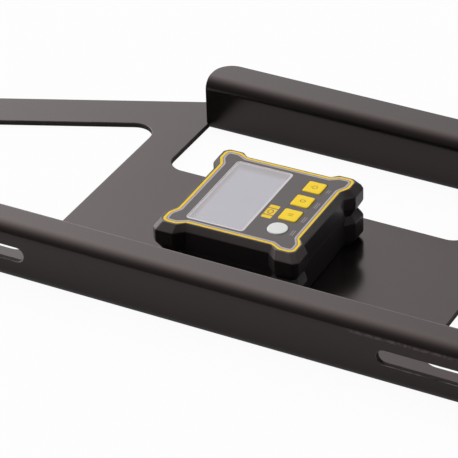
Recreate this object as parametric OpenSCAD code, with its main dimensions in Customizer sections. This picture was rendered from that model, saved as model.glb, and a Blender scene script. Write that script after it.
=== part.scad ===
/* [Folded bracket] */
// Thickness of the steel sheet
sheet_t = 2.5; // [2:0.1:3]
// Inner radius of each bend
bend_r = 3; // [2:0.25:3.5]
// Length of the front flange
bracket_len = 530; // [510:5:600]
// Height of the folded walls over the plate's underside
wall_h = 26.5; // [26:0.5:30]
// Distance from the bracket's middle to the front flange's outer face
flange_y = 56.5; // [54:0.5:62]
// Width of the front flange's top lip, from the outer face
front_lip_w = 14; // [11:0.5:16]
// Width of the plate strip behind the front flange, from the outer face
flange_strip_w = 17.8; // [14:0.2:20]
// Slope of the two arms, in degrees
arm_slope = 23.3; // [20:0.1:25]
// Width of each arm
arm_w = 19.5; // [16:0.5:24]
// Width of the ribs between the hand hole and the side windows
rib_w = 18; // [14:0.5:20]
// Width of the plate left at each end
end_w = 22; // [18:1:30]
// Radius of the window corners
window_r = 8.5; // [5:0.5:9]

/* [Handle] */
// Length of the hand hole
hand_hole_len = 141; // [120:0.5:150]
// Distance from the bracket's middle to the hand hole's front edge
hand_hole_y = 45.3; // [42:0.1:48]
// Radius of the hand hole's front corners
hand_hole_r = 8; // [5:0.5:10]
// Distance from the bracket's middle to the handle's front face
handle_y = 82.5; // [80:0.5:88]
// Width of the handle's top lip, from its front face
handle_lip_w = 16.5; // [14:0.5:20]
// Radius of the lips' free corners
lip_r = 9; // [5:0.5:10]
// Depth of the rear bar, from the handle's front face
rear_bar_w = 22.8; // [20:0.2:28]
// Slit on each side of the handle, where it was cut free
slit_w = 0.3; // [0.2:0.1:1]

/* [Rim pegs] */
// Diameter of the peg studs
stud_d = 6; // [5:0.5:6]
// Play of the studs in their slots, on each side
slot_clear = 0.3; // [0.2:0.1:0.5]
// Distance from the bracket's middle to each slot's inner end
slot_start = 79.3; // [70:0.1:90]
// Distance from each slot's outer end to the end of the flange
slot_end_in = 19.7; // [15:0.1:30]
// Height of the slots over the plate's underside
slot_z = 13.7; // [13:0.1:14.5]
// Distance from each slot's outer end to its peg
peg_in = 45.3; // [10:0.1:100]
// Diameter of each peg
peg_d = 14; // [12:0.5:18]
// Length of each peg's turned body
peg_len = 34; // [26:1:45]
// Diameter of the nylon tips
tip_d = 16; // [15:0.5:20]
// Length of the nylon tips
tip_len = 12; // [10:1:16]
// Diameter of the thumb nuts
nut_d = 18; // [16:0.5:18]
// Length of the thumb nuts
nut_len = 14; // [12:0.5:18]
// Number of grips round each thumb nut
nut_grips = 20; // [12:1:24]

/* [Level box] */
// Width of the level box over its ears
box_w = 65.4; // [63.4:0.2:68]
// How far each ear stands out of its flat side
ear_out = 3.5; // [3:0.1:4]
// Height of the level box
box_h = 27; // [26:0.5:31]
// Height of the parting line over the level box's base
split_z = 14.4; // [14:0.1:15]
// Distance of each ear's ramp from the middle of its side
ear_at = 18.7; // [16:0.1:20]
// Length of the ramp from a flat side up to its ear
ear_ramp = 4.1; // [2:0.1:5]
// Corner cut of each ear
ear_cut = 2; // [1:0.1:2.5]
// Height of the chamfer round the face
face_bevel_h = 3.4; // [2.4:0.1:4]
// Width of the chamfer over a flat side
flat_bevel_w = 1.4; // [0.8:0.1:1.8]
// Width of the chamfer over an ear
ear_bevel_w = 2.4; // [1.4:0.1:3]
// Half height of the V notch round each ear
notch_h = 3.6; // [2.5:0.1:4]
// Depth of the V notch round each ear
notch_deep = 1.9; // [1:0.1:2.2]
// Thickness of the housing's walls
wall_t = 2.2; // [1.8:0.1:2.4]
// Distance of the level box to the left of the bracket's middle
box_left = 1.1; // [0:0.1:3]
// Distance of the level box behind the bracket's middle
box_back = 1.3; // [0:0.1:3]
// Turn of the level box on the plate, in degrees
box_turn = 1.2; // [0:0.1:3]

/* [Display and keys] */
// Distance from the left flat side to the display window
window_side_in = 8.25; // [8:0.05:8.6]
// Distance from the front and rear flat sides to the display window
window_end_in = 6.05; // [5.8:0.05:8]
// Gap between the display window and the square keys
window_key_gap = 9.2; // [8.6:0.1:11]
// Distance from the right flat side to the square keys
key_side_in = 8.15; // [8:0.05:8.6]
// Distance from the rear flat side to the middle of the rearmost key
key_end_in = 11.8; // [11.5:0.1:12.2]
// Gap between neighbouring square keys
key_space = 3.05; // [2.7:0.05:3.6]
// How much wider the round lamp key is than the square keys
lamp_key_more = 0.4; // [0:0.1:0.6]
// How far the lamp key stands to the left of the square keys
lamp_key_off = 0.5; // [0:0.1:0.8]
// Distance from the front flat side to the middle of the lamp key
lamp_end_in = 13; // [12.6:0.1:13.3]
// How much nearer the lamp key is to the square keys than they are to each other
lamp_key_near = 0.45; // [0:0.05:0.5]
// How far the keys stand out of the face
key_out = 0.45; // [0.3:0.05:0.8]
// Travel of the keys
key_travel = 0.4; // [0.3:0.05:0.5]

/* [Cells] */
// Diameter of the cells
cell_d = 10.5; // [10:0.1:10.6]
// Length of the cells
cell_len = 44.5; // [43:0.1:45]
// Diameter of the magnets
magnet_d = 8; // [6:0.5:8]
// Thickness of the magnets
magnet_t = 2.2; // [1.5:0.1:2.4]

/* [Hidden] */
$fn = 48;
over = 1;
arc_steps = 6;

sheet_black = [0.17, 0.16, 0.155];
case_black = [0.09, 0.085, 0.085];
face_grey = [0.29, 0.28, 0.28];
key_yellow = [0.96, 0.8, 0.12];
steel = [0.72, 0.73, 0.75];
brass = [0.8, 0.66, 0.36];
board_green = [0.1, 0.36, 0.2];

// Bracket
bend_out = bend_r + sheet_t;
rear_y = handle_y + rear_bar_w;
shoulder_x = hand_hole_len / 2;
rib_x = shoulder_x + rib_w;
handle_len = hand_hole_len - 2 * slit_w;
end_x = bracket_len / 2;
window_end_x = end_x - end_w;
strip_y = flange_strip_w - flange_y;
bend_line_y = bend_out - flange_y;
arm_rise = tan(arm_slope);
plate_r = 10;
slot_w = stud_d + 2 * slot_clear;
slot_end_x = end_x - slot_end_in;
slot_len = slot_end_x - slot_start;

// Rim pegs
peg_x = slot_end_x - peg_in;
washer_t = 1.2;
washer_d = 13;
coat_gap = 0.05;
thread_gap = 0.05;
stud_grip = 12;
stud_end_cut = 0.6;
stud_end_gap = 2;
nut_end_t = 2;
nut_flange_t = 1.6;
nut_grip_r = 0.9;
peg_edge = 1;
groove_w = 3;
groove_deep = 1;
neck_d = 8;
neck_len = tip_len - 4 * peg_edge;
tip_round = 3;
stud_r = stud_d / 2;
peg_z = 2 * coat_gap + washer_t;
nut_z = sheet_t + washer_t + 2 * coat_gap;

// Level box
half_w = box_w / 2;
flat_half = half_w - ear_out;
flat_w = 2 * flat_half;
slope_share = 0.55;
cut_reach = ear_at / 2;
core_points = [[flat_half, -flat_half], [flat_half, flat_half],
               [-flat_half, flat_half], [-flat_half, -flat_half]];
ear_points = [[ear_at, ear_at], [flat_half, ear_at], [half_w, ear_at + ear_ramp],
              [half_w, half_w - ear_cut], [half_w - ear_cut, half_w],
              [ear_at + ear_ramp, half_w], [ear_at, flat_half]];
ear_leans = [0, slope_share, 1, sqrt(2), 1, slope_share, 0];
foot_h = 2.6;
foot_flat_in = 0.5;
foot_ear_in = 2;
overlay_t = 0.5;
overlay_rim = 0.35;
overlay_gap = 0.05;
face_t = 2.5;
face_in_z = box_h - face_t;
hollow_w = flat_w - 2 * wall_t;
fit = 0.1;

// Screws and posts
boss_d = 6.4;
boss_in = 4.1;
boss_at = flat_half - boss_in;
screw_d = 2.2;
screw_head_d = 4.4;
screw_head_h = 1.6;
screw_slot_w = 0.6;
screw_len = 16;
screw_sink = 3;
screw_play = 0.05;
post_d = 3.6;
post_in = 2.7;
post_x = hollow_w / 2 - post_in;
board_screw_d = 1.6;
board_screw_head_d = 3;
board_screw_head_h = 1;
board_screw_len = 4.2;

// Keys and display window on the face
key_y = flat_half - key_end_in;
lamp_key_y = flat_half - lamp_end_in;
key_pitch = (key_y + lamp_key_y + lamp_key_near) / 3;
key_w = key_pitch - key_space;
key_x = flat_half - key_side_in - key_w / 2;
lamp_key_d = key_w + lamp_key_more;
lamp_key_x = key_x - lamp_key_off;
window_from = window_side_in - flat_half;
window_to = key_x - key_w / 2 - window_key_gap;
window_w = window_to - window_from;
window_len = 2 * (flat_half - window_end_in);
window_left = -(window_from + window_to) / 2;

// Display stack and board, from the face downwards
window_t = 1.5;
window_ledge = 1.2;
panel_in = 0.6;
panel_t = 1.8;
diffuser_t = 1.2;
frame_t = 0.8;
board_t = 1.2;
board_down = 7.7;
board_z = box_h - board_down;
board_top_z = board_z + board_t;
board_gap = 0.5;
board_corner = boss_in + boss_d / 2 - wall_t;
panel_z = face_in_z - fit - panel_t;
diffuser_z = panel_z - fit - diffuser_t;

// Keys
key_r = 1.1;
key_gap = 0.15;
key_rim = 0.8;
key_rim_t = 0.8;
key_top_z = box_h + key_out;
key_rim_z = face_in_z - fit - key_rim_t;
plunger_d = 2.4;
plunger_gap = 0.15;
plunger_out = 0.4;
switch_w = 4.6;
plunger_top_z = key_rim_z - key_travel - plunger_gap;
switch_top_z = plunger_top_z - plunger_out;

// What stands under the board: centre and size as shares of the board's width, and heights
board_w = hollow_w - 2 * board_gap;
chip_shares = [[-0.17, 0.15, 0.19, 0.19], [-0.28, -0.17, 0.09, 0.11], [0.17, 0.24, 0.08, 0.06]];
chip_h = 1.5;
sensor_share = [0.08, -0.08];
sensor_w = 5;
buzzer_share = [0.3, -0.26];
buzzer_d = 9;
buzzer_h = 4;
buzzer_hole_d = 1.6;

// Battery bay
cell_gap = 0.4;
contact_room = 2.2;
bay_w = 2 * cell_d + 3 * cell_gap;
bay_len = cell_len + 2 * contact_room;
bay_rib = 1.2;
door_inset = 0.4;
door_t = 2;
tongue_t = 1;
tongue_w = 1.6;
door_ledge = 1.1;
door_top_z = door_inset + door_t;
floor_t = door_top_z + fit + door_ledge;
cell_rest = 0.3;
cell_z = door_top_z + cell_rest + cell_d / 2;
cell_x = (cell_d + cell_gap) / 2;
bay_top_z = min(cell_z + cell_d / 2 + cell_gap, split_z - fit);
cell_cap_d = 5.2;
cell_cap_h = 1;
contact_w = 7.6;
contact_t = 0.4;
spring_foot_d = 6;
spring_tip_d = 3;
spring_wire_d = 0.4;
magnet_side_in = 8.8;
magnet_end_in = 11.6;
magnet_x = flat_half - magnet_side_in;
magnet_y = flat_half - magnet_end_in;
magnet_gap = 0.05;
magnet_in = 0.1;
grip_w = 14;
grip_d = 1.2;
grip_pitch = 2.4;
grip_deep = 0.5;
grips = 5;

// Rounds each corner of an outline by the radius at the same place in radii
function unit(v) = v / norm(v);
function turned(a) = a > 180 ? a - 360 : a < -180 ? a + 360 : a;
function on_circle(m, r, a) = m + r * [cos(a), sin(a)];
function corner_arc(p, c, n, r) =
    let (u = unit(p - c), v = unit(n - c), half = acos(u * v) / 2,
         m = c + unit(u + v) * r / sin(half),
         a = c + u * r / tan(half) - m, b = c + v * r / tan(half) - m,
         start = atan2(a.y, a.x), sweep = turned(atan2(b.y, b.x) - start))
    [for (i = [0:arc_steps]) on_circle(m, r, start + sweep * i / arc_steps)];
function rounded(pts, radii) =
    let (n = len(pts))
    [for (i = [0:n - 1])
        each radii[i] > 0
            ? corner_arc(pts[(i + n - 1) % n], pts[i], pts[(i + 1) % n], radii[i])
            : [pts[i]]];
function rounded_square(w, r) =
    rounded([[w / 2, -w / 2], [w / 2, w / 2], [-w / 2, w / 2], [-w / 2, -w / 2]], [r, r, r, r]);
function reversed(list) = [for (i = [len(list) - 1:-1:0]) list[i]];

// Outline symmetrical about both axes, from its points in the first quarter
function four_quarters(q) =
    concat(q, [for (p = reversed(q)) [-p.x, p.y]], [for (p = q) [-p.x, -p.y]],
           [for (p = reversed(q)) [p.x, -p.y]]);

// Where an ear's ramp, moved inwards by a distance, crosses the line at x
function slope_y(x, in) = ear_at + ((x - flat_half) * ear_ramp + in * norm([ear_out, ear_ramp])) / ear_out;
function face_points(ear, flat, in) =
    four_quarters([[flat, slope_y(flat, in)], [ear, slope_y(ear, in)], [ear, ear - ear_cut],
                   [ear - ear_cut, ear], [slope_y(ear, in), ear], [slope_y(flat, in), flat]]);
function overlay_points(in) =
    face_points(half_w - ear_bevel_w - in, flat_half - flat_bevel_w - in, slope_share * ear_bevel_w + in);

// The arm's rear and front edges at a distance from the bracket's middle
function arm_rear_y(x) = rear_y - (x - shoulder_x) * arm_rise;
function arm_front_y(x) = arm_rear_y(x) - arm_w / cos(arm_slope);

// Cuts off what lies outside a plane that starts at the edge from p to q and leans inwards
module lean_cut(p, q, z, h, lean, up) {
    d = q - p;
    translate([p.x, p.y, z])
        rotate([0, 0, atan2(d.y, d.x)])
            mirror([0, 0, up])
                rotate([-atan2(lean, h), 0, 0])
                    translate([-cut_reach, -lean - over, 0])
                        cube([norm(d) + 2 * cut_reach, lean + over, norm([h, lean]) + over]);
}

// Cuts that narrow a convex prism towards its end at z, over a height h
module end_cuts(points, leans, z, h, in, up) {
    for (i = [0:len(points) - 1])
        if (leans[i] * in > 0)
            lean_cut(points[i], points[(i + 1) % len(points)], z + (up == 0 ? -h : h), h, leans[i] * in, up);
}

module ring(d_out, d_in, h) {
    difference() {
        cylinder(d = d_out, h = h);
        translate([0, 0, -over])
            cylinder(d = d_in, h = h + 2 * over);
    }
}

module bend_section() {
    intersection() {
        translate([bend_out, bend_out])
            difference() {
                circle(bend_out);
                circle(bend_r);
            }
        square(bend_out);
    }
}

// The sheet's C section: plate strip, bend, wall, bend and lip
module channel_section(strip_w, lip_w) {
    translate([bend_out, 0])
        square([strip_w - bend_out, sheet_t]);
    bend_section();
    translate([0, bend_out])
        square([sheet_t, wall_h - 2 * bend_out]);
    translate([0, wall_h])
        mirror([0, 1])
            bend_section();
    translate([bend_out, wall_h - sheet_t])
        square([lip_w - bend_out, sheet_t]);
}

module folded_channel(length, strip_w, lip_w) {
    half = length / 2;
    intersection() {
        rotate([90, 0, 90])
            linear_extrude(length, center = true)
                channel_section(strip_w, lip_w);
        translate([0, 0, -over])
            linear_extrude(wall_h + 2 * over)
                polygon(rounded([[half, 0], [half, lip_w], [-half, lip_w], [-half, 0]],
                                [0, lip_r, lip_r, 0]));
    }
}

module plate() {
    outline = [[end_x, bend_line_y], [end_x, arm_rear_y(end_x)], [shoulder_x, rear_y],
               [-shoulder_x, rear_y], [-end_x, arm_rear_y(end_x)], [-end_x, bend_line_y]];
    window = [[rib_x, strip_y], [window_end_x, strip_y],
              [window_end_x, arm_front_y(window_end_x)], [rib_x, arm_front_y(rib_x)]];
    hand_hole = [[-shoulder_x, handle_y + bend_out], [-shoulder_x, hand_hole_y],
                 [shoulder_x, hand_hole_y], [shoulder_x, handle_y + bend_out]];
    difference() {
        linear_extrude(sheet_t)
            polygon(rounded(outline, [0, plate_r, plate_r, plate_r, plate_r, 0]));
        translate([0, 0, -over])
            linear_extrude(sheet_t + 2 * over) {
                polygon(rounded(hand_hole, [0, hand_hole_r, hand_hole_r, 0]));
                for (side = [0, 1])
                    mirror([side, 0])
                        polygon(rounded(window, [for (p = window) window_r]));
            }
    }
}

module peg_slot() {
    run = slot_len - slot_w;
    depth = sheet_t + 2 * over;
    translate([slot_start + slot_w / 2, -flange_y - over, slot_z])
        rotate([-90, 0, 0]) {
            cylinder(d = slot_w, h = depth);
            translate([run, 0, 0])
                cylinder(d = slot_w, h = depth);
            translate([0, -slot_w / 2, 0])
                cube([run, slot_w, depth]);
        }
}

module folded_bracket() {
    color(sheet_black)
        difference() {
            union() {
                plate();
                translate([0, -flange_y, 0])
                    folded_channel(bracket_len, bend_out + over, front_lip_w);
                translate([0, handle_y, 0])
                    folded_channel(handle_len, bend_out + over, handle_lip_w);
            }
            for (side = [0, 1])
                mirror([side, 0, 0])
                    peg_slot();
        }
}

// Puts what is made about the level box's own middle on the plate
module on_plate() {
    translate([-box_left, box_back, sheet_t])
        rotate([0, 0, box_turn])
            children();
}

// Prism whose sides lean inwards towards its bottom and top
module leaning_prism(points, leans, z, h, low_h, low_in, top_h, top_in) {
    difference() {
        translate([0, 0, z])
            linear_extrude(h)
                polygon(points);
        end_cuts(points, leans, z, low_h, low_in, 1);
        end_cuts(points, leans, z + h, top_h, top_in, 0);
    }
}

// The housing's block with its four ears; flats and ears lean by their own amounts, [flat, ear]
module eared_block(z, h, low_h, low_ins, top_h, top_ins) {
    leaning_prism(core_points, [1, 1, 1, 1], z, h, low_h, low_ins[0], top_h, top_ins[0]);
    for (turn = [0:90:270])
        rotate([0, 0, turn])
            leaning_prism(ear_points, ear_leans, z, h, low_h, low_ins[1], top_h, top_ins[1]);
}

module hollow(z, h) {
    translate([-hollow_w / 2, -hollow_w / 2, z])
        cube([hollow_w, hollow_w, h]);
}

module at_corners(x, y) {
    for (sx = [-1, 1])
        for (sy = [-1, 1])
            translate([sx * x, sy * y, 0])
                children();
}

module at_sides(x) {
    for (side = [-1, 1])
        translate([side * x, 0, 0])
            children();
}

// Keys are counted from the rear: power, zero, hold and lamp
module at_key(place) {
    if (place == 3)
        translate([lamp_key_x, -lamp_key_y, 0])
            children();
    else
        translate([key_x, key_y - place * key_pitch, 0])
            children();
}

module key_outline(place, grow) {
    if (place == 3)
        circle(d = lamp_key_d + 2 * grow);
    else
        polygon(rounded_square(key_w + 2 * grow, key_r));
}

module key_holes(z, h) {
    for (place = [0:3])
        at_key(place)
            translate([0, 0, z])
                linear_extrude(h)
                    key_outline(place, key_gap);
}

module window_block(grow, z, h) {
    w = window_w + 2 * grow;
    l = window_len + 2 * grow;
    translate([-window_left - w / 2, -l / 2, z])
        cube([w, l, h]);
}

module front_shell() {
    on_plate()
        color(case_black)
            difference() {
                union() {
                    difference() {
                        eared_block(split_z, box_h - split_z, notch_h, [0, notch_deep],
                                    face_bevel_h, [flat_bevel_w, ear_bevel_w]);
                        hollow(split_z - over, face_in_z - split_z + over);
                    }
                    at_corners(boss_at, boss_at)
                        translate([0, 0, split_z])
                            cylinder(d = boss_d, h = face_in_z - split_z);
                    at_sides(post_x)
                        translate([0, 0, board_top_z + fit])
                            cylinder(d = post_d, h = face_in_z - board_top_z - fit);
                }
                at_corners(boss_at, boss_at)
                    translate([0, 0, split_z - over])
                        cylinder(d = screw_d + 2 * screw_play, h = screw_sink + screw_len - split_z + 2 * over);
                at_sides(post_x)
                    translate([0, 0, board_z])
                        cylinder(d = board_screw_d + 2 * screw_play, h = board_screw_len);
                translate([0, 0, box_h - overlay_t])
                    linear_extrude(overlay_t + over)
                        polygon(overlay_points(overlay_rim));
                window_block(fit / 2, box_h - window_t, window_t + over);
                window_block(-window_ledge, face_in_z - over, face_t + 2 * over);
                key_holes(face_in_z - over, face_t + 2 * over);
            }
}

module rear_shell() {
    rail_w = bay_w + 2 * tongue_w;
    rail_z = door_top_z - tongue_t;
    open_len = bay_len / 2 + flat_half + over;
    on_plate()
        color(case_black)
            difference() {
                union() {
                    difference() {
                        eared_block(0, split_z, foot_h, [foot_flat_in, foot_ear_in], notch_h, [0, notch_deep]);
                        hollow(floor_t, split_z);
                    }
                    translate([-bay_w / 2 - bay_rib, -bay_len / 2 - bay_rib, floor_t - door_ledge])
                        cube([bay_w + 2 * bay_rib, bay_len + 2 * bay_rib, bay_top_z - floor_t + door_ledge]);
                    at_corners(boss_at, boss_at)
                        translate([0, 0, floor_t])
                            cylinder(d = boss_d, h = split_z - floor_t);
                }
                translate([-bay_w / 2, -bay_len / 2, -over])
                    cube([bay_w, bay_len, split_z + 2 * over]);
                translate([-bay_w / 2, -bay_len / 2, -over])
                    cube([bay_w, open_len, over + door_top_z + fit]);
                translate([-rail_w / 2, -bay_len / 2, rail_z - fit])
                    cube([rail_w, open_len, tongue_t + 2 * fit]);
                at_corners(boss_at, boss_at) {
                    translate([0, 0, -over])
                        cylinder(d = screw_head_d + 2 * fit, h = screw_sink + over);
                    cylinder(d = screw_d + 2 * screw_play, h = split_z + over);
                }
                at_corners(magnet_x, magnet_y)
                    translate([0, 0, -over])
                        cylinder(d = magnet_d + 2 * magnet_gap, h = magnet_in + magnet_t + magnet_gap + over);
            }
}

module face_overlay() {
    on_plate()
        color(face_grey)
            translate([0, 0, box_h - overlay_t])
                difference() {
                    linear_extrude(overlay_t)
                        polygon(overlay_points(overlay_rim + overlay_gap));
                    window_block(fit / 2, -over, overlay_t + 2 * over);
                    key_holes(-over, overlay_t + 2 * over);
                }
}

module display_window() {
    on_plate()
        color([0.78, 0.77, 0.82, 0.5])
            window_block(0, box_h - window_t, window_t);
}

module display_panel() {
    on_plate()
        color([0.66, 0.66, 0.7])
            window_block(-panel_in, panel_z, panel_t);
}

module display_diffuser() {
    on_plate()
        color("white")
            window_block(-panel_in, diffuser_z, diffuser_t);
}

module display_frame() {
    z = board_top_z + fit;
    h = face_in_z - board_top_z - 2 * fit;
    on_plate()
        color([0.85, 0.85, 0.83])
            difference() {
                window_block(fit + frame_t - panel_in, z, h);
                window_block(fit - panel_in, z - over, h + 2 * over);
            }
}

module circuit_board() {
    half = board_w / 2;
    cut = half - board_corner;
    on_plate()
        color(board_green)
            translate([0, 0, board_z])
                difference() {
                    linear_extrude(board_t)
                        polygon(four_quarters([[half, cut], [cut, cut], [cut, half]]));
                    at_sides(post_x)
                        translate([0, 0, -over])
                            cylinder(d = board_screw_d + 2 * fit, h = board_t + 2 * over);
                }
}

module board_chips() {
    on_plate()
        color([0.12, 0.12, 0.13])
            for (shares = chip_shares) {
                chip = board_w * shares;
                translate([chip[0] - chip[2] / 2, chip[1] - chip[3] / 2, board_z - chip_h])
                    cube([chip[2], chip[3], chip_h]);
            }
}

module tilt_sensor() {
    on_plate()
        color([0.5, 0.5, 0.52])
            translate([sensor_share.x * board_w, sensor_share.y * board_w, board_z - chip_h])
                cube([sensor_w, sensor_w, chip_h]);
}

module buzzer() {
    on_plate()
        color([0.14, 0.14, 0.14])
            translate([buzzer_share.x * board_w, buzzer_share.y * board_w, board_z - buzzer_h])
                difference() {
                    cylinder(d = buzzer_d, h = buzzer_h);
                    translate([0, 0, -over])
                        cylinder(d = buzzer_hole_d, h = over + buzzer_h / 2);
                }
}

module key_switches() {
    on_plate()
        color([0.2, 0.2, 0.22])
            for (place = [0:3])
                at_key(place) {
                    translate([-switch_w / 2, -switch_w / 2, board_top_z])
                        cube([switch_w, switch_w, switch_top_z - board_top_z]);
                    translate([0, 0, board_top_z])
                        cylinder(d = plunger_d, h = plunger_top_z - board_top_z);
                }
}

module board_screws() {
    on_plate()
        color(steel)
            at_sides(post_x)
                translate([0, 0, board_z]) {
                    translate([0, 0, -board_screw_head_h])
                        cylinder(d = board_screw_head_d, h = board_screw_head_h);
                    translate([0, 0, -board_screw_head_h / 2])
                        cylinder(d = board_screw_d, h = board_screw_len);
                }
}

module shell_screws() {
    on_plate()
        color(steel)
            at_corners(boss_at, boss_at)
                translate([0, 0, screw_sink - screw_head_h]) {
                    difference() {
                        cylinder(d = screw_head_d, h = screw_head_h);
                        for (turn = [0, 90])
                            rotate([0, 0, turn])
                                translate([-screw_d / 2, -screw_slot_w / 2, -over])
                                    cube([screw_d, screw_slot_w, over + screw_head_h / 2]);
                    }
                    translate([0, 0, screw_head_h / 2])
                        cylinder(d = screw_d, h = screw_len + screw_head_h / 2);
                }
}

// A key with its retaining rim under the face
module key(place) {
    rim_half = key_rim_t / 2;
    on_plate()
        at_key(place)
            translate([0, 0, key_rim_z]) {
                linear_extrude(key_rim_t)
                    key_outline(place, key_rim);
                translate([0, 0, rim_half])
                    linear_extrude(key_top_z - key_rim_z - rim_half)
                        key_outline(place, 0);
            }
}

module power_key() {
    color(key_yellow)
        key(0);
}

module zero_key() {
    color(key_yellow)
        key(1);
}

module hold_key() {
    color(key_yellow)
        key(2);
}

module lamp_key() {
    color([0.87, 0.89, 0.88])
        key(3);
}

module battery_door() {
    door_w = bay_w - 2 * fit;
    tongues_w = door_w + 2 * tongue_w;
    front_y = fit - bay_len / 2;
    end_y = flat_half - foot_flat_in;
    on_plate()
        color(case_black)
            difference() {
                union() {
                    translate([-door_w / 2, front_y, door_inset])
                        cube([door_w, end_y - front_y, door_t]);
                    translate([-tongues_w / 2, front_y, door_top_z - tongue_t])
                        cube([tongues_w, end_y - front_y, tongue_t]);
                }
                for (i = [1:grips])
                    translate([-grip_w / 2, end_y - i * grip_pitch - grip_d, door_inset - over])
                        cube([grip_w, grip_d, over + grip_deep]);
            }
}

module at_cells() {
    for (side = [-1, 1])
        translate([side * cell_x, 0, cell_z])
            children();
}

module batteries() {
    on_plate()
        color([0.75, 0.5, 0.2])
            at_cells()
                rotate([90, 0, 0])
                    translate([0, 0, -cell_len / 2]) {
                        cylinder(d = cell_d, h = cell_len - cell_cap_h);
                        translate([0, 0, cell_len - 2 * cell_cap_h])
                            cylinder(d = cell_cap_d, h = 2 * cell_cap_h);
                    }
}

module battery_contacts() {
    on_plate()
        color(brass)
            at_cells()
                for (end = [0, 1])
                    mirror([0, end, 0])
                        translate([-contact_w / 2, fit - bay_len / 2, -contact_w / 2])
                            cube([contact_w, contact_t, contact_w]);
}

// Conical springs, each as its stacked turns of wire
module battery_springs() {
    room = contact_room - contact_t - 2 * fit;
    turns = floor(room / spring_wire_d);
    on_plate()
        color(steel)
            at_cells()
                translate([0, bay_len / 2 - fit - contact_t, 0])
                    rotate([90, 0, 0])
                        for (i = [0:turns - 1])
                            translate([0, 0, i * spring_wire_d])
                                ring(spring_foot_d + (spring_tip_d - spring_foot_d) * i / turns,
                                     spring_foot_d + (spring_tip_d - spring_foot_d) * (i + 2) / turns,
                                     spring_wire_d);
}

module back_magnets() {
    on_plate()
        color([0.78, 0.78, 0.8])
            at_corners(magnet_x, magnet_y)
                translate([0, 0, magnet_in])
                    cylinder(d = magnet_d, h = magnet_t);
}

// Puts what is made along +Z, from the flange's outer face outwards, at a peg on the given side
module at_peg(side) {
    translate([side * peg_x, -flange_y, slot_z])
        rotate([90, 0, 0])
            children();
}

module washer(side, z) {
    color(steel)
        at_peg(side)
            translate([0, 0, z])
                ring(washer_d, stud_d + 2 * thread_gap, washer_t);
}

// Turned peg: body with a groove, a shoulder and the neck that carries the tip
module peg(side) {
    r = peg_d / 2;
    groove_z = peg_len / 3;
    neck_z = peg_len + neck_len;
    color([0.62, 0.63, 0.65])
        at_peg(side)
            translate([0, 0, peg_z])
                difference() {
                    rotate_extrude()
                        polygon([[0, 0], [r - peg_edge, 0], [r, peg_edge], [r, groove_z],
                                 [r - groove_deep, groove_z + groove_deep],
                                 [r - groove_deep, groove_z + groove_w - groove_deep],
                                 [r, groove_z + groove_w], [r, peg_len - peg_edge],
                                 [r - peg_edge, peg_len], [neck_d / 2, peg_len],
                                 [neck_d / 2, neck_z], [0, neck_z]]);
                    translate([0, 0, -over])
                        cylinder(d = stud_d + 2 * thread_gap, h = stud_grip + over);
                }
}

module rim_tip(side) {
    r = tip_d / 2;
    color([0.9, 0.89, 0.86])
        at_peg(side)
            translate([0, 0, peg_z + peg_len + coat_gap])
                difference() {
                    rotate_extrude() {
                        square([r - tip_round, tip_len]);
                        square([r, tip_len - tip_round]);
                        translate([r - tip_round, tip_len - tip_round])
                            intersection() {
                                circle(tip_round);
                                square(tip_round);
                            }
                    }
                    translate([0, 0, -over])
                        cylinder(d = neck_d + 2 * thread_gap, h = neck_len + coat_gap + over);
                }
}

module peg_stud(side) {
    inner_z = stud_end_gap + nut_end_t - nut_z - nut_len;
    outer_z = peg_z + stud_grip - coat_gap;
    tip_r = stud_r - stud_end_cut;
    color(steel)
        at_peg(side)
            rotate_extrude()
                polygon([[0, inner_z], [tip_r, inner_z], [stud_r, inner_z + stud_end_cut],
                         [stud_r, outer_z - stud_end_cut], [tip_r, outer_z], [0, outer_z]]);
}

module nut_knurl() {
    difference() {
        circle(d = nut_d);
        for (i = [0:nut_grips - 1])
            rotate(i * 360 / nut_grips)
                translate([nut_d / 2, 0])
                    circle(nut_grip_r, $fn = 16);
    }
}

module thumb_nut(side) {
    color([0.16, 0.16, 0.17])
        at_peg(side)
            rotate([180, 0, 0])
                translate([0, 0, nut_z])
                    difference() {
                        union() {
                            cylinder(d = nut_d, h = nut_flange_t);
                            cylinder(d = nut_d - 2 * nut_flange_t, h = nut_len);
                            translate([0, 0, 2 * nut_flange_t])
                                linear_extrude(nut_len - 3 * nut_flange_t)
                                    nut_knurl();
                        }
                        translate([0, 0, -over])
                            cylinder(d = stud_d + 2 * thread_gap, h = nut_len - nut_end_t + over);
                    }
}

module left_peg() { peg(-1); }
module left_peg_stud() { peg_stud(-1); }
module left_rim_tip() { rim_tip(-1); }
module left_front_washer() { washer(-1, coat_gap); }
module left_back_washer() { washer(-1, -sheet_t - coat_gap - washer_t); }
module left_thumb_nut() { thumb_nut(-1); }
module right_peg() { peg(1); }
module right_peg_stud() { peg_stud(1); }
module right_rim_tip() { rim_tip(1); }
module right_front_washer() { washer(1, coat_gap); }
module right_back_washer() { washer(1, -sheet_t - coat_gap - washer_t); }
module right_thumb_nut() { thumb_nut(1); }

folded_bracket();
front_shell();
rear_shell();
face_overlay();
display_window();
display_panel();
display_frame();
display_diffuser();
circuit_board();
board_chips();
tilt_sensor();
buzzer();
key_switches();
board_screws();
shell_screws();
lamp_key();
hold_key();
zero_key();
power_key();
battery_door();
batteries();
battery_contacts();
battery_springs();
back_magnets();
left_peg();
left_peg_stud();
left_rim_tip();
left_front_washer();
left_back_washer();
left_thumb_nut();
right_peg();
right_peg_stud();
right_rim_tip();
right_front_washer();
right_back_washer();
right_thumb_nut();
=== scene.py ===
import math

import bmesh
import bpy
from mathutils import Matrix, Vector
from mathutils.geometry import delaunay_2d_cdt


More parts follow.
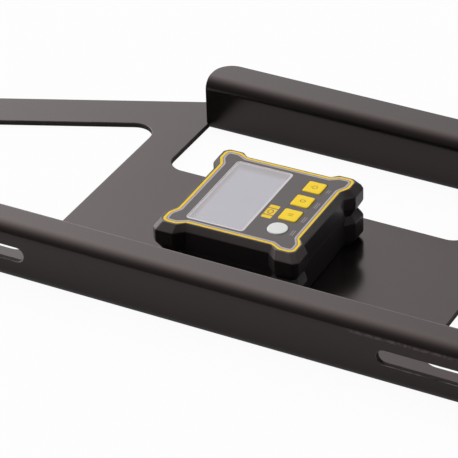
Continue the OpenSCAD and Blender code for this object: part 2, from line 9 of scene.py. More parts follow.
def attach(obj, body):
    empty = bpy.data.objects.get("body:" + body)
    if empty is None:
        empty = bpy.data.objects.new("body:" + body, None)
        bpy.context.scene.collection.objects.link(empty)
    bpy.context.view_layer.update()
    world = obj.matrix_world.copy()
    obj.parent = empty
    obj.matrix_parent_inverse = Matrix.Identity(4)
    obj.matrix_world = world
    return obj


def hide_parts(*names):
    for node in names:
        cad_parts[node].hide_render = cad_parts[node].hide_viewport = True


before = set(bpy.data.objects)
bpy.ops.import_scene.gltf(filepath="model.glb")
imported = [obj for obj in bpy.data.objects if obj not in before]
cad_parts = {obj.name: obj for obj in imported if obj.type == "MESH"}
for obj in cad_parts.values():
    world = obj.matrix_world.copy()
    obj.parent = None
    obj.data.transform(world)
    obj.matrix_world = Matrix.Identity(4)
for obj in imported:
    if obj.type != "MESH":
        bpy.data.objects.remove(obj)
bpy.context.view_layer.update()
print("frame loaded:", len(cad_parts), "nodes")

mm = 0.001
toMetres = Matrix.Scale(mm, 4)


class Wire:
    # a socket that can be added, multiplied and so on with numbers and other sockets
    def __init__(self, tree, socket):
        self.tree = tree
        self.socket = socket

    def make(self, kind, settings=None, inputs=None, out=0):
        node = self.tree.nodes.new(kind)
        for name, value in (settings or {}).items():
            if name == "stops":
                for spare in range(len(value) - 2):
                    node.color_ramp.elements.new(0.5)
                for element, (place, colour) in zip(node.color_ramp.elements, value):
                    element.position = place
                    element.color = colour
            else:
                setattr(node, name, value)
        for name, value in (inputs or {}).items():
            socket = node.inputs[name]
            if isinstance(value, Wire):
                self.tree.links.new(value.socket, socket)
            else:
                socket.default_value = value
        return Wire(self.tree, node.outputs[out])

    def maths(self, operation, first, second=0.0, third=0.0):
        return self.make("ShaderNodeMath", {"operation": operation}, {0: first, 1: second, 2: third})

    def __add__(self, other):
        return self.maths("ADD", self, other)

    def __radd__(self, other):
        return self.maths("ADD", other, self)

    def __sub__(self, other):
        return self.maths("SUBTRACT", self, other)

    def __rsub__(self, other):
        return self.maths("SUBTRACT", other, self)

    def __mul__(self, other):
        return self.maths("MULTIPLY", self, other)

    def __rmul__(self, other):
        return self.maths("MULTIPLY", other, self)

    def __truediv__(self, other):
        return self.maths("DIVIDE", self, other)

    def __pow__(self, other):
        return self.maths("POWER", self, other)

    def __neg__(self):
        return self.maths("MULTIPLY", self, -1.0)

    def __abs__(self):
        return self.maths("ABSOLUTE", self)

    def atMost(self, other):
        return self.maths("MINIMUM", self, other)

    def atLeast(self, other):
        return self.maths("MAXIMUM", self, other)

    def held(self):
        return self.make("ShaderNodeClamp", None, {0: self})

    def root(self):
        return self.maths("SQRT", self)

    def parts(self):
        node = self.make("ShaderNodeSeparateXYZ", None, {0: self}).socket.node
        return [Wire(self.tree, output) for output in node.outputs]

    def linkTo(self, socket):
        self.tree.links.new(self.socket, socket)


def inside(distance, soft=0.05):
    # 1 where a distance is below zero, 0 above, with a soft edge
    return (0.5 - distance / soft).held()


def mixed(factor, first, second):
    tree = factor.tree if isinstance(factor, Wire) else first.tree
    start = Wire(tree, None)
    return start.make("ShaderNodeMix", {"data_type": "RGBA"}, {0: factor, 6: first, 7: second}, 2)


def noise(place, scale, detail=2.0, roughness=0.5):
    return place.make("ShaderNodeTexNoise", None,
                      {"Vector": place, "Scale": scale, "Detail": detail, "Roughness": roughness})


def grey(value):
    return (value, value, value, 1.0)


def newFinish(name, constants):
    # a material with its fixed values set; gives the material, its shader and the object's place
    material = bpy.data.materials.new(name)
    material.use_nodes = True
    tree = material.node_tree
    shader = tree.nodes["Principled BSDF"]
    for key, value in constants.items():
        shader.inputs[key].default_value = value
    place = Wire(tree, tree.nodes.new("ShaderNodeTexCoord").outputs["Object"])
    return material, shader, place


def feed(shader, values):
    # links each value to the shader's socket of that name
    for name, value in values.items():
        value.linkTo(shader.inputs[name])


def bumpFrom(height, shader, strength, distance):
    bump = height.make("ShaderNodeBump", None, {"Strength": strength, "Distance": distance, "Height": height})
    bump.linkTo(shader.inputs["Normal"])


# in millimetres: merged corners, merged corners of a solid's copy, the flat fill, and a crossing
tolerance = {"merge": 1e-4, "mergeCopy": 1e-3, "flat": 1e-7, "cross": 1e-9}


def arcAt(before, corner, after, radius, steps):
    toBefore = (before - corner).normalized()
    toAfter = (after - corner).normalized()
    half = math.acos(max(-1, min(1, toBefore.dot(toAfter)))) / 2
    middle = corner + (toBefore + toAfter).normalized() * radius / math.sin(half)
    first = corner + toBefore * radius / math.tan(half) - middle
    last = corner + toAfter * radius / math.tan(half) - middle
    start = math.atan2(first.y, first.x)
    sweep = math.atan2(first.x * last.y - first.y * last.x, first.dot(last))
    turns = [start + sweep * i / steps for i in range(steps + 1)]
    return [middle + Vector((math.cos(turn), math.sin(turn))) * radius for turn in turns]


def rounded(points, radii, steps=8):
    if not isinstance(radii, (list, tuple)):
        radii = [radii] * len(points)
    points = [Vector(point) for point in points]
    made = []
    for i, (corner, radius) in enumerate(zip(points, radii)):
        if radius > 0:
            made += arcAt(points[i - 1], corner, points[(i + 1) % len(points)], radius, steps)
        else:
            made.append(corner)
    return made


def turnsLeft(points):
    return sum(a.x * b.y - a.y * b.x for a, b in zip(points, points[1:] + points[:1])) > 0


def moveIn(points, amount):
    moved = []
    for i, point in enumerate(points):
        a = (point - points[i - 1]).normalized()
        b = (points[(i + 1) % len(points)] - point).normalized()
        moved.append(point + Vector((-a.y - b.y, a.x + b.x)) * amount / (1 + a.dot(b)))
    return moved


def crossings(points, heights):
    # the outline with a point added wherever it crosses one of the heights
    made = []
    for a, b in zip(points, points[1:] + points[:1]):
        made.append(a)
        shares = sorted((height - a.y) / (b.y - a.y) for height in heights
                        if (height - a.y) * (height - b.y) < -tolerance["cross"])
        made += [a.lerp(b, share) for share in shares]
    return made


def holds(loops, point):
    # whether the point lies within the loops, where a loop in another is a hole
    odd = False
    for loop in loops:
        for a, b in zip(loop, loop[1:] + loop[:1]):
            if (a.y > point.y) != (b.y > point.y):
                odd = odd != (point.x < (b.x - a.x) * (point.y - a.y) / (b.y - a.y) + a.x)
    return odd


# the cutEdge attribute on a flat cut face and on its rounded rims; it is 0 elsewhere
cutShade = {"face": 0.4, "rim": 1.0}


def cutWall(shape, loop, section, steps, cut):
    # rings of corners follow the loop down the rounded section of its edge
    rings = [[shape.verts.new((p.x, p.y, z)) for p in moveIn(loop, inward)] for inward, z in section]
    for i, ring in enumerate(rings[1:-1], 1):
        for corner in ring:
            corner[cut] = cutShade["face"] if i in (steps, steps + 1) else cutShade["rim"]
    for upper, lower in zip(rings, rings[1:]):
        for i in range(len(loop)):
            k = (i + 1) % len(loop)
            shape.faces.new((upper[i], lower[i], lower[k], upper[k]))


def filled(loops, heights, reach):
    # points and faces that fill the loops, with a line drawn across at each height
    points, edges = [], []
    for loop in loops:
        start, count = len(points), len(loop)
        points += loop
        edges += [(start + i, start + (i + 1) % count) for i in range(count)]
    for height in heights:
        edges.append((len(points), len(points) + 1))
        points += [Vector((-reach, height)), Vector((reach, height))]
    flat, _, faces = delaunay_2d_cdt(points, edges, [], 0, tolerance["flat"])[:3]
    middles = [sum((flat[i] for i in face), Vector((0, 0))) / len(face) for face in faces]
    return flat, [face for face, middle in zip(faces, middles) if holds(loops, middle)]


def flatSolid(outline, holes, low, high, edge, heights=(), reach=0.0, steps=3):
    # a flat piece between two heights with rounded edges, and cut along the given lines
    loops = [points if turnsLeft(points) == (i == 0) else points[::-1]
             for i, points in enumerate([outline] + list(holes))]
    loops = [crossings(loop, heights) for loop in loops]
    angles = [math.pi / 2 * i / steps for i in range(steps + 1)]
    top = [(edge * (1 - math.sin(a)), high - edge * (1 - math.cos(a))) for a in angles]
    section = top + [(inward, low + high - z) for inward, z in reversed(top)]
    shape = bmesh.new()
    cut = shape.verts.layers.float.new("cutEdge")
    for loop in loops:
        cutWall(shape, loop, section, steps, cut)
    flat, faces = filled([moveIn(loop, edge) for loop in loops], heights, reach)
    for z in (high, low):
        corners = {i: shape.verts.new((flat[i].x, flat[i].y, z)) for face in faces for i in face}
        for face in faces:
            shape.faces.new([corners[i] for i in (face if z == high else face[::-1])])
    bmesh.ops.remove_doubles(shape, verts=shape.verts, dist=tolerance["merge"])
    return shape


def turned(points, radii, steps=72):
    # a closed outline of (radius, height) points, its corners rounded, turned about Z
    shape = bmesh.new()
    ways = [(math.cos(2 * math.pi * i / steps), math.sin(2 * math.pi * i / steps)) for i in range(steps)]
    rings = []
    for radius, height in rounded(points, radii, 4):
        onAxis = radius <= tolerance["merge"]
        around = [(radius * x, radius * y, height) for x, y in (ways[:1] if onAxis else ways)]
        rings.append([shape.verts.new(spot) for spot in around])
    closed = len(rings[0]) > 1
    for lower, upper in zip(rings, rings[1:] + (rings[:1] if closed else [])):
        for i in range(steps):
            k = (i + 1) % steps
            corners = [lower[i % len(lower)], lower[k % len(lower)],
                       upper[k % len(upper)], upper[i % len(upper)]]
            corners = list(dict.fromkeys(corners))
            if len(corners) > 2:
                shape.faces.new(corners)
    bmesh.ops.recalc_face_normals(shape, faces=shape.faces)
    return shape


# degrees: flatter than the first is one face, and sharper than the second may be rounded
softening = {"flat": 0.7, "sharp": 12}


def softCopy(nodeName, rounds):
    # a merged copy of a node in millimetres, with the chosen edges rounded
    shape = bmesh.new()
    shape.from_mesh(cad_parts[nodeName].data)
    bmesh.ops.transform(shape, matrix=Matrix.Scale(1 / mm, 4), verts=shape.verts)
    bmesh.ops.remove_doubles(shape, verts=shape.verts, dist=tolerance["mergeCopy"])
    bmesh.ops.dissolve_limit(shape, angle_limit=math.radians(softening["flat"]), verts=shape.verts,
                             edges=shape.edges)
    for chosen, width, steps in rounds:
        edges = [edge for edge in shape.edges
                 if len(edge.link_faces) == 2 and edge.calc_face_angle() > math.radians(softening["sharp"])
                 and chosen((edge.verts[0].co + edge.verts[1].co) / 2)]
        bmesh.ops.bevel(shape, geom=edges, offset=width, segments=steps, profile=0.5, affect="EDGES",
                        clamp_overlap=False)
    return shape


def moved(shape, place):
    bmesh.ops.transform(shape, matrix=place, verts=shape.verts)
    return shape


def together(*shapes):
    # several shapes or meshes as one
    whole = bmesh.new()
    for shape in shapes:
        mesh = shape
        if isinstance(shape, bmesh.types.BMesh):
            mesh = bpy.data.meshes.new("part")
            shape.to_mesh(mesh)
            shape.free()
        whole.from_mesh(mesh)
        bpy.data.meshes.remove(mesh)
    return whole


def newPiece(name, shape, body, replaced, finish, place=Matrix.Identity(4), crease=50):
    # a shape in millimetres becomes a piece in metres that rides on a body
    mesh = bpy.data.meshes.new(name)
    shape.to_mesh(mesh)
    shape.free()
    mesh.transform(toMetres @ place)
    mesh.materials.clear()
    mesh.materials.append(finish)
    mesh.shade_smooth()
    mesh.set_sharp_from_angle(angle=math.radians(crease))
    piece = bpy.data.objects.new(name, mesh)
    bpy.context.scene.collection.objects.link(piece)
    weighted = piece.modifiers.new("evenNormals", "WEIGHTED_NORMAL")
    weighted.keep_sharp = True
    weighted.weight = 90
    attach(piece, body)
    if replaced:
        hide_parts(*replaced)
    return piece


def growTree(name, inputs):
    # a new Geometry Nodes tree; gives the tree and a wire for each input
    tree = bpy.data.node_groups.new(name, "GeometryNodeTree")
    tree.interface.new_socket(name="Geometry", in_out="OUTPUT", socket_type="NodeSocketGeometry")
    tree.interface.new_socket(name="Geometry", in_out="INPUT", socket_type="NodeSocketGeometry")
    for label, value in inputs.items():
        whole = isinstance(value, int)
        socket = tree.interface.new_socket(
            name=label, in_out="INPUT", socket_type="NodeSocketInt" if whole else "NodeSocketFloat")
        socket.default_value = value
    group = tree.nodes.new("NodeGroupInput")
    return tree, {output.name: Wire(tree, output) for output in group.outputs if output.name}


def closeTree(geometry, finish):
    real = geometry.make("GeometryNodeRealizeInstances", None, {0: geometry})
    coated = real.make("GeometryNodeSetMaterial", None, {"Geometry": real, "Material": finish})
    output = geometry.tree.nodes.new("NodeGroupOutput")
    coated.linkTo(output.inputs[0])


def grown(tree, values, shape=None):
    # runs a tree, on a shape where it needs one, and gives the plain shape that comes out
    mesh = bpy.data.meshes.new(tree.name)
    if shape:
        shape.to_mesh(mesh)
        shape.free()
    holder = bpy.data.objects.new(tree.name, mesh)
    bpy.context.scene.collection.objects.link(holder)
    modifier = holder.modifiers.new(tree.name, "NODES")
    modifier.node_group = tree
    for item in tree.interface.items_tree:
        if item.in_out == "INPUT" and item.name in values:
            modifier[item.identifier] = values[item.name]
    ready = bpy.context.evaluated_depsgraph_get()
    made = bpy.data.meshes.new_from_object(holder.evaluated_get(ready))
    bpy.data.objects.remove(holder)
    return together(made)


cameraView = {"azimuth": 29.062, "elevation": 33.016, "roll": -1.878, "lens": 227.95, "sensor": 36,
              "place": (0.4712, -0.8744, 0.6623)}


def toward(azimuth, elevation):
    # the way out from the object: azimuth 0 is its front and 90 its right
    a, e = math.radians(azimuth), math.radians(elevation)
    return Vector((math.sin(a) * math.cos(e), -math.cos(a) * math.cos(e), math.sin(e)))


def aimCamera(view):
    azimuth, roll = math.radians(view["azimuth"]), math.radians(view["roll"])
    back = toward(view["azimuth"], view["elevation"])
    level = Vector((math.cos(azimuth), math.sin(azimuth), 0))
    rise = level.cross(-back)
    across = level * math.cos(roll) + rise * math.sin(roll)
    upward = rise * math.cos(roll) - level * math.sin(roll)
    data = bpy.data.cameras.new("photoCamera")
    data.sensor_width = view["sensor"]
    data.lens = view["lens"]
    camera = bpy.data.objects.new("photoCamera", data)
    turn = Matrix((across, upward, back)).transposed().to_4x4()
    camera.matrix_world = Matrix.Translation(view["place"]) @ turn
    bpy.context.scene.collection.objects.link(camera)
    bpy.context.scene.camera = camera


aimCamera(cameraView)
bpy.context.scene.view_settings.view_transform = "Standard"

# a soft dome, brightest low behind the object's left, falls off to dark on the camera's side
dome = {"glowAzimuth": 250, "glowElevation": 34, "glow": 4.5, "glowPower": 4.6, "zenith": 0.34, "shine": 0.15}
floorLook = {"drop": 0.0002, "size": 14.0, "grey": 0.62, "mottle": 0.97, "white": 0.955, "shine": 0.125}
# the lamps light the object without being mirrored in it
lamps = {"topSoftbox": {"azimuth": 200, "elevation": 78, "distance": 1.6, "size": (1.6, 1.6), "power": 2.4},
         "sideSoftbox": {"azimuth": 318, "elevation": 44, "distance": 1.8, "size": (1.3, 1.0), "power": 1.2}}
white = grey(1.0)


def raySeen(tree, shine):
    # 1 for what the camera and glass see, and a share of it for what metal and plastic mirror
    path = tree.nodes.new("ShaderNodeLightPath")
    seen = Wire(tree, path.outputs["Is Camera Ray"]).atLeast(Wire(tree, path.outputs["Is Transmission Ray"]))
    return seen.atLeast(Wire(tree, path.outputs["Is Glossy Ray"]) * shine)


def setDome(look):
    world = bpy.data.worlds.new("studio")
    bpy.context.scene.world = world
    world.use_nodes = True
    tree = world.node_tree
    sky = tree.nodes["Background"]
    sky.inputs["Color"].default_value = white
    way = Wire(tree, tree.nodes.new("ShaderNodeTexCoord").outputs["Generated"])
    toGlow = toward(look["glowAzimuth"], look["glowElevation"])
    near = way.make("ShaderNodeVectorMath", {"operation": "DOT_PRODUCT"}, {0: way, 1: toGlow}, 1)
    up = way.parts()[2].atLeast(0.0)
    light = near.atLeast(0.0) ** look["glowPower"] * look["glow"] + up * up * look["zenith"]
    light.linkTo(sky.inputs["Strength"])
    seen = raySeen(tree, look["shine"])
    bright = seen.make("ShaderNodeBackground", None, {"Color": white, "Strength": 1.0})
    both = seen.make("ShaderNodeMixShader", None, {0: seen, 1: Wire(tree, sky.outputs[0]), 2: bright})
    both.linkTo(tree.nodes["World Output"].inputs["Surface"])


def layFloor(look):
    material, shader, place = newFinish("paleFloor", {"Roughness": 0.9})
    tree = material.node_tree
    seen = raySeen(tree, look["shine"])
    feed(shader, {"Base Color": mixed(noise(place, 30) * 0.1, grey(look["grey"]),
                                      grey(look["grey"] * look["mottle"]))})
    glow = seen.make("ShaderNodeEmission", None, {"Color": white, "Strength": 1.0})
    both = seen.make("ShaderNodeMixShader", None,
                     {0: seen * look["white"], 1: Wire(tree, shader.outputs[0]), 2: glow})
    both.linkTo(tree.nodes["Material Output"].inputs["Surface"])
    mesh = bpy.data.meshes.new("paleFloor")
    half, down = look["size"] / 2, -look["drop"]
    mesh.from_pydata([(-half, -half, down), (half, -half, down), (half, half, down), (-half, half, down)], [],
                     [(0, 1, 2, 3)])
    mesh.materials.append(material)
    floor = bpy.data.objects.new("paleFloor", mesh)
    bpy.context.scene.collection.objects.link(floor)


def hangLamp(name, look):
    data = bpy.data.lights.new(name, "AREA")
    data.shape = "RECTANGLE"
    data.size, data.size_y = look["size"]
    data.energy = look["power"]
    lamp = bpy.data.objects.new(name, data)
    way = toward(look["azimuth"], look["elevation"])
    lamp.location = way * look["distance"]
    lamp.rotation_mode = "QUATERNION"
    lamp.rotation_quaternion = way.to_track_quat("Z", "Y")
    lamp.visible_glossy = False
    bpy.context.scene.collection.objects.link(lamp)


setDome(dome)
layFloor(floorLook)
for lampName, lampLook in lamps.items():
    hangLamp(lampName, lampLook)
print("camera, lamps and floor set")


sheet = {"thickness": 2.5, "bendRadius": 3.0, "wallHeight": 26.5, "length": 530.0,
         "frontFace": -56.5, "frontLip": 14.0, "strip": 17.8, "lipRound": 9.0,
         "handHole": 141.0, "handHoleFront": 45.3, "handHoleRound": 8.0,
         "handleFace": 82.5, "handleLip": 16.5, "rearBar": 22.8, "slit": 0.3, "plateRound": 10.0,
         "armSlope": 23.3, "armWidth": 19.5, "ribWidth": 18.0, "endWidth": 22.0, "windowRound": 8.5,
         "slotStart": 79.3, "slotLength": 166.0, "slotWidth": 6.6, "slotHeight": 13.7,
         "edge": 0.4, "bendSteps": 10, "besideBend": 1.5, "over": 5, "cornerSteps": 12,
         # just under a half circle, so that no two corners of the slot's ends meet
         "slotRoundShare": 0.9999, "slotSteps": 10}

# the pale coat colour stands for both rubbed coat and a painted highlight along the lip
coatLook = {"dark": (0.009, 0.0074, 0.007, 1), "wearAndHighlight": (0.42, 0.38, 0.37, 1), "tint": (1.0, 0.81, 0.785, 1),
            "frontWall": -50.0,
            # a painted highlight in a strip along the free edge of the front lip
            "lip": {"below": 0.2, "half": 0.38, "soft": 0.1, "least": 0.03, "more": 0.24},
            # a paler line in specks along the bend at the right of the front wall
            "bend": {"from": 64.0, "to": 72.0, "height": 22.0, "half": 0.55, "sway": 0.5, "most": 0.16},
            "rim": {"most": 0.18, "frontMore": 0.32, "rougher": 0.3}, "cutRougher": 0.5}


def coatWearAndHighlight(look, edge, place):
    # how much of the coat is paler: rubbed off on the rounded rims, a paler line along the bend and a painted
    # highlight along the lip's free edge; and how much is rubbed off the rims
    x, y, z = (axis / mm for axis in place.parts())
    rim = ((edge - (cutShade["face"] + 0.1)) * 2.5).held()
    front = inside(y - look["frontWall"], 2.0)
    rub = rim * ((noise(place, 160, 3) - 0.3) * 3.0).held()
    rub = rub * (front * look["rim"]["frontMore"] + look["rim"]["most"])
    strip, bend = look["lip"], look["bend"]
    # painted highlight: a paler strip along the free edge of the front lip, just under its top
    lipEdge = sheet["frontFace"] + sheet["frontLip"] - sheet["edge"]
    lip = inside(abs(y - lipEdge) - strip["half"], strip["soft"])
    lip = lip * inside(sheet["wallHeight"] - strip["below"] - z, strip["soft"])
    lip = lip * (noise(place, 60, 2) * strip["more"] + strip["least"])
    along = ((x - bend["from"]) / (bend["to"] - bend["from"])).held() * inside(y - look["frontWall"], 0.5)
    line = inside(abs(z - bend["height"] - (noise(place, 25, 1) - 0.5) * bend["sway"]) - bend["half"], 0.5)
    specks = ((noise(place, 700, 3) - 0.36) * 3.5).held()
    return rub.atLeast(along * line * specks * bend["most"]).atLeast(lip), rub


def powderCoat():
    look = coatLook
    material, shader, place = newFinish("blackPowderCoat", {"IOR": 1.5, "Specular Tint": look["tint"]})
    edge = place.make("ShaderNodeAttribute", {"attribute_name": "cutEdge"}, out=2)
    cutFace = inside(abs(edge - cutShade["face"]) - 0.04, 0.02)
    wearAndHighlight, rub = coatWearAndHighlight(look, edge, place)
    cloud, grain = noise(place, 14, 3), noise(place, 3500, 1)
    peel = noise(place, 750, 2) * 0.7 + noise(place, 2600, 1) * 0.3
    roughness = 0.13 + cloud * 0.08 + grain * 0.03
    # pale where the coat is rubbed, and where a highlight is painted along the lip
    feed(shader, {"Base Color": mixed(wearAndHighlight, look["dark"], look["wearAndHighlight"]),
                  "Roughness": roughness + rub * look["rim"]["rougher"] + cutFace * look["cutRougher"]})
    bumpFrom(peel, shader, 0.09, 0.00012)
    return material


caseLook = {"black": [(0.015, 0.0127, 0.0125, 1), (0.022, 0.0186, 0.0181, 1)], "tint": (1.0, 0.88, 0.87, 1),
            # painted light: the bevel round the face is painted a little paler, in specks
            "bevel": {"from": 26.0, "soft": 0.3, "most": 0.12, "pale": (0.42, 0.34, 0.335, 1)}}


def mouldedCase():
    bevel = caseLook["bevel"]
    material, shader, place = newFinish("mouldedCase", {
        "Specular Tint": caseLook["tint"], "Coat Weight": 0.3, "Coat Roughness": 0.15})
    grain = noise(place, 4200, 2, 0.6)
    black = mixed(noise(place, 60, 3), *caseLook["black"])
    # painted light: paler specks on the bevel round the face, above a height
    onBevel = ((place.parts()[2] / mm - bevel["from"]) / bevel["soft"]).held()
    paintedBevelLight = onBevel * (noise(place, 220, 3) * 0.6 + 0.7) * bevel["most"]
    feed(shader, {"Base Color": mixed(paintedBevelLight.held(), black, bevel["pale"]),
                  "Roughness": 0.38 + grain * 0.16})
    bumpFrom(grain, shader, 0.22, 0.00006)
    return material


boxPlace = {"left": 1.1, "back": 1.3, "up": 2.5, "turn": 1.2}


def boxCoordinates(place):
    # millimetres about the level box's own middle, turned with it
    return place.make("ShaderNodeMapping", {"vector_type": "TEXTURE"}, {
        "Vector": place, "Location": (-boxPlace["left"] * mm, boxPlace["back"] * mm, 0),
        "Rotation": (0, 0, math.radians(boxPlace["turn"])), "Scale": (mm, mm, mm)})


def roundedBox(x, y, middle, half, radius):
    # distance from the outline of a rounded rectangle, below zero inside
    dx = abs(x - middle[0]) - (half[0] - radius)
    dy = abs(y - middle[1]) - (half[1] - radius)
    outX, outY = dx.atLeast(0.0), dy.atLeast(0.0)
    return (outX * outX + outY * outY).root() + dx.atLeast(dy).atMost(0.0) - radius


filmPrint = {"middle": 0.2, "flat": 26.75, "ear": 29.05, "rampFrom": 18.9, "rampTo": 23.0, "corner": 1.3,
             "blend": 0.6, "cornerBlend": 1.2, "line": 1.12, "inner": 1.2, "innerLine": 0.8, "soft": 0.12,
             "yellow": (0.80, 0.54, 0.03, 1), "lilac": (0.42, 0.37, 0.40, 1), "pale": (0.42, 0.40, 0.40, 1),
             "ground": [(0.06, 0.0495, 0.0505, 1), (0.068, 0.057, 0.0575, 1)], "tint": (1, 0.91, 0.92, 1)}
levelSymbol = {"middle": (8.2, -5.9), "half": (4.9, 2.2), "corner": 0.5, "bubble": 1.1, "bubbleLong": 1.6,
               "bubbleLine": 0.16, "lines": 2.5, "line": 0.22}
# rows of short dashes beside the keys: x, y and length of each
keyDashes = {"spots": [(23.3, 17.0, 2.6), (23.4, 5.6, 4.4), (23.3, -6.0, 4.2), (23.3, -16.6, 4.0)],
             "perMillimetre": 1.9, "dash": 0.36, "apart": 0.45, "half": 0.17, "strength": 0.7}
windowPrint = {"middle": (-8.375, -0.2), "half": (13.02, 23.8), "radius": 1.7, "line": 1.05,
               "pale": (0.575, 0.545, 0.56, 1)}


def faceOutline(x, y, look):
    # distance from a square with an ear at each corner, below zero inside
    fromMiddle = abs(x - look["middle"])
    far, near = fromMiddle.atLeast(abs(y)), fromMiddle.atMost(abs(y))
    run, rise = look["rampTo"] - look["rampFrom"], look["ear"] - look["flat"]
    ramp = ((far - look["flat"]) * run - (near - look["rampFrom"]) * rise) / math.hypot(run, rise)
    corner = (far + near - (2 * look["ear"] - look["corner"])) / math.sqrt(2)
    eared = far.maths("SMOOTH_MAX", far - look["ear"], ramp, look["blend"])
    outline = far.maths("SMOOTH_MIN", far - look["flat"], eared, look["blend"])
    return far.maths("SMOOTH_MAX", outline, corner, look["cornerBlend"])


def windowFrame(x, y):
    # the pale line round the window: distance from its outside, and 1 on the line
    edge = roundedBox(x, y, windowPrint["middle"], windowPrint["half"], windowPrint["radius"])
    half = windowPrint["line"] / 2
    return edge, inside(abs(edge + half) - half, filmPrint["soft"])


def vialMark(x, y, look):
    # a plain level symbol: a vial with its bubble between two lines
    vialX, vialY = x - look["middle"][0], y - look["middle"][1]
    vial = roundedBox(vialY, vialX, (0, 0), look["half"], look["corner"])
    bubble = ((vialY * vialY) / look["bubbleLong"] + vialX * vialX).root() - look["bubble"]
    lines = abs(abs(vialY) - look["lines"]) - look["line"]
    return inside(vial, 0.12) * (1 - inside(abs(bubble) - look["bubbleLine"], 0.1)) * (1 - inside(lines, 0.1))


def dashRows(x, y, look):
    rows = None
    along = y * look["perMillimetre"]
    dashes = inside(abs(along.maths("PINGPONG", along, 1.0) - 0.5) - look["dash"], 0.2)
    for middle, spot, long in look["spots"]:
        pair = inside(abs(abs(x - middle) - look["apart"]) - look["half"], 0.1)
        row = inside(abs(y - spot) - long / 2, 0.1) * pair * dashes
        rows = row if rows is None else rows + row
    return rows


def layInk(shader, mask, colour, roughness):
    # a matt print over the shader, where the mask is 1
    tree = mask.tree
    ink = mask.make("ShaderNodeBsdfPrincipled", None, {"Base Color": colour, "Roughness": roughness,
                                                       "Specular IOR Level": 0.12})
    both = mask.make("ShaderNodeMixShader", None, {0: mask, 1: Wire(tree, shader.outputs[0]), 2: ink})
    both.linkTo(tree.nodes["Material Output"].inputs["Surface"])


def printedFilm():
    look = filmPrint
    material, shader, place = newFinish("printedFilm", {
        "Specular IOR Level": 0.36, "Specular Tint": look["tint"]})
    x, y = boxCoordinates(place).parts()[:2]
    outline = faceOutline(x, y, look)
    yellow = inside(abs(outline) - look["line"] / 2, look["soft"])
    lilac = inside(abs(outline + look["inner"]) - look["innerLine"] / 2, look["soft"])
    grain = noise(place, 5200, 2)
    feed(shader, {"Base Color": mixed(noise(place, 90, 2), *look["ground"]), "Roughness": 0.34 + grain * 0.1})
    bumpFrom(grain * 0.4, shader, 0.1, 0.00004)
    printed = (yellow + vialMark(x, y, levelSymbol)).held()
    frameLine = windowFrame(x, y)[1]
    colour = mixed(printed, mixed(lilac, look["pale"], look["lilac"]), look["yellow"])
    colour = mixed(frameLine, colour, windowPrint["pale"])
    dashes = dashRows(x, y, keyDashes) * keyDashes["strength"]
    layInk(shader, (printed + lilac + frameLine + dashes).held(), colour, 0.6 + grain * 0.1)
    return material


# painted shade: the display's face is darker along its left and its back; each strip is full, then none
lensPrint = {"faceAt": 26.88, "leftShadeBand": (1.3, 2.9), "backShadeBand": (2.6, 5.6), "shadeColour": (0.36, 0.335, 0.35, 1),
             "lilac": (0.441, 0.426, 0.472, 1), "dark": (0.3, 0.3, 0.34, 1),
             "cells": {"x": -8.7, "from": -13.8, "pitch": 9.2, "count": 4, "half": (6.4, 3.6), "corner": 0.8,
                       "line": 0.42, "strength": 0.035}}


def unlitCells(x, y, look):
    # the faint outlines of the display's cells while it is off
    rings = None
    for row in range(look["count"]):
        cell = roundedBox(x, y, (look["x"], look["from"] + row * look["pitch"]), look["half"], look["corner"])
        ring = inside(abs(abs(cell + 0.9) - 0.02) - look["line"], 0.12)
        rings = ring if rings is None else rings + ring
    return rings.held() * look["strength"]


def clearLens():
    # a thin clear plate over the display's printed face
    look, frameAt = lensPrint, windowPrint
    material, shader, place = newFinish("clearLens", {"IOR": 1.49})
    x, y, z = boxCoordinates(place).parts()
    frameLine = windowFrame(x, y)[1]
    bonded = inside(z - look["faceAt"] - boxPlace["up"], 0.02)
    # painted shade along the left and the back of the display's face
    paintedShade = None
    for inward, (full, none) in (
            (x - frameAt["middle"][0] + frameAt["half"][0] - frameAt["line"], look["leftShadeBand"]),
            (frameAt["middle"][1] + frameAt["half"][1] - frameAt["line"] - y, look["backShadeBand"])):
        side = ((none - inward) / (none - full)).held()
        paintedShade = side if paintedShade is None else paintedShade.atLeast(side)
    lit = mixed(unlitCells(x, y, look["cells"]) + noise(place, 45, 2) * 0.1, look["lilac"], look["dark"])
    feed(shader, {"Base Color": mixed(frameLine, mixed(paintedShade, lit, look["shadeColour"]), frameAt["pale"]),
                  "Alpha": 0.05 + bonded * 0.95,
                  "Roughness": 0.12 + bonded * 0.2 + noise(place, 120, 2) * 0.03})
    bumpFrom(noise(place, 900, 1), shader, 0.03, 0.00002)
    return material


def displayGlass():
    material, shader, place = newFinish("displayGlass", {"Specular IOR Level": 0.5})
    x = boxCoordinates(place).parts()[0]
    glassMiddle = inside(abs(x - lensPrint["cells"]["x"]) - 9.6, 0.2)
    feed(shader, {"Base Color": mixed(noise(place, 45, 2), (0.40, 0.41, 0.40, 1), (0.46, 0.47, 0.45, 1)),
                  "Roughness": 0.22 + noise(place, 3000, 1) * 0.08 + glassMiddle * 0.05})
    bumpFrom(noise(place, 5000, 1), shader, 0.05, 0.00003)
    return material


keyColours = {"yellow": [(0.83, 0.575, 0.025, 1), (0.87, 0.61, 0.03, 1)],
              "pale": [(0.645, 0.655, 0.635, 1), (0.695, 0.705, 0.68, 1)], "mark": (0.10, 0.07, 0.02, 1)}


def keyFinish(name, colours, key):
    material, shader, place = newFinish(name, {"Specular IOR Level": 0.14})
    x, y = boxCoordinates(place).parts()[:2]
    colour = mixed(noise(place, 160, 2), *colours)
    if key in marks:
        keyX, keyY = face["keys"][key]
        colour = mixed(marks[key](x - keyX, y - keyY) * 0.7, colour, keyColours["mark"])
    grain = noise(place, 5200, 2)
    feed(shader, {"Base Color": colour, "Roughness": 0.5 + grain * 0.12})
    bumpFrom(grain, shader, 0.12, 0.00005)
    return material


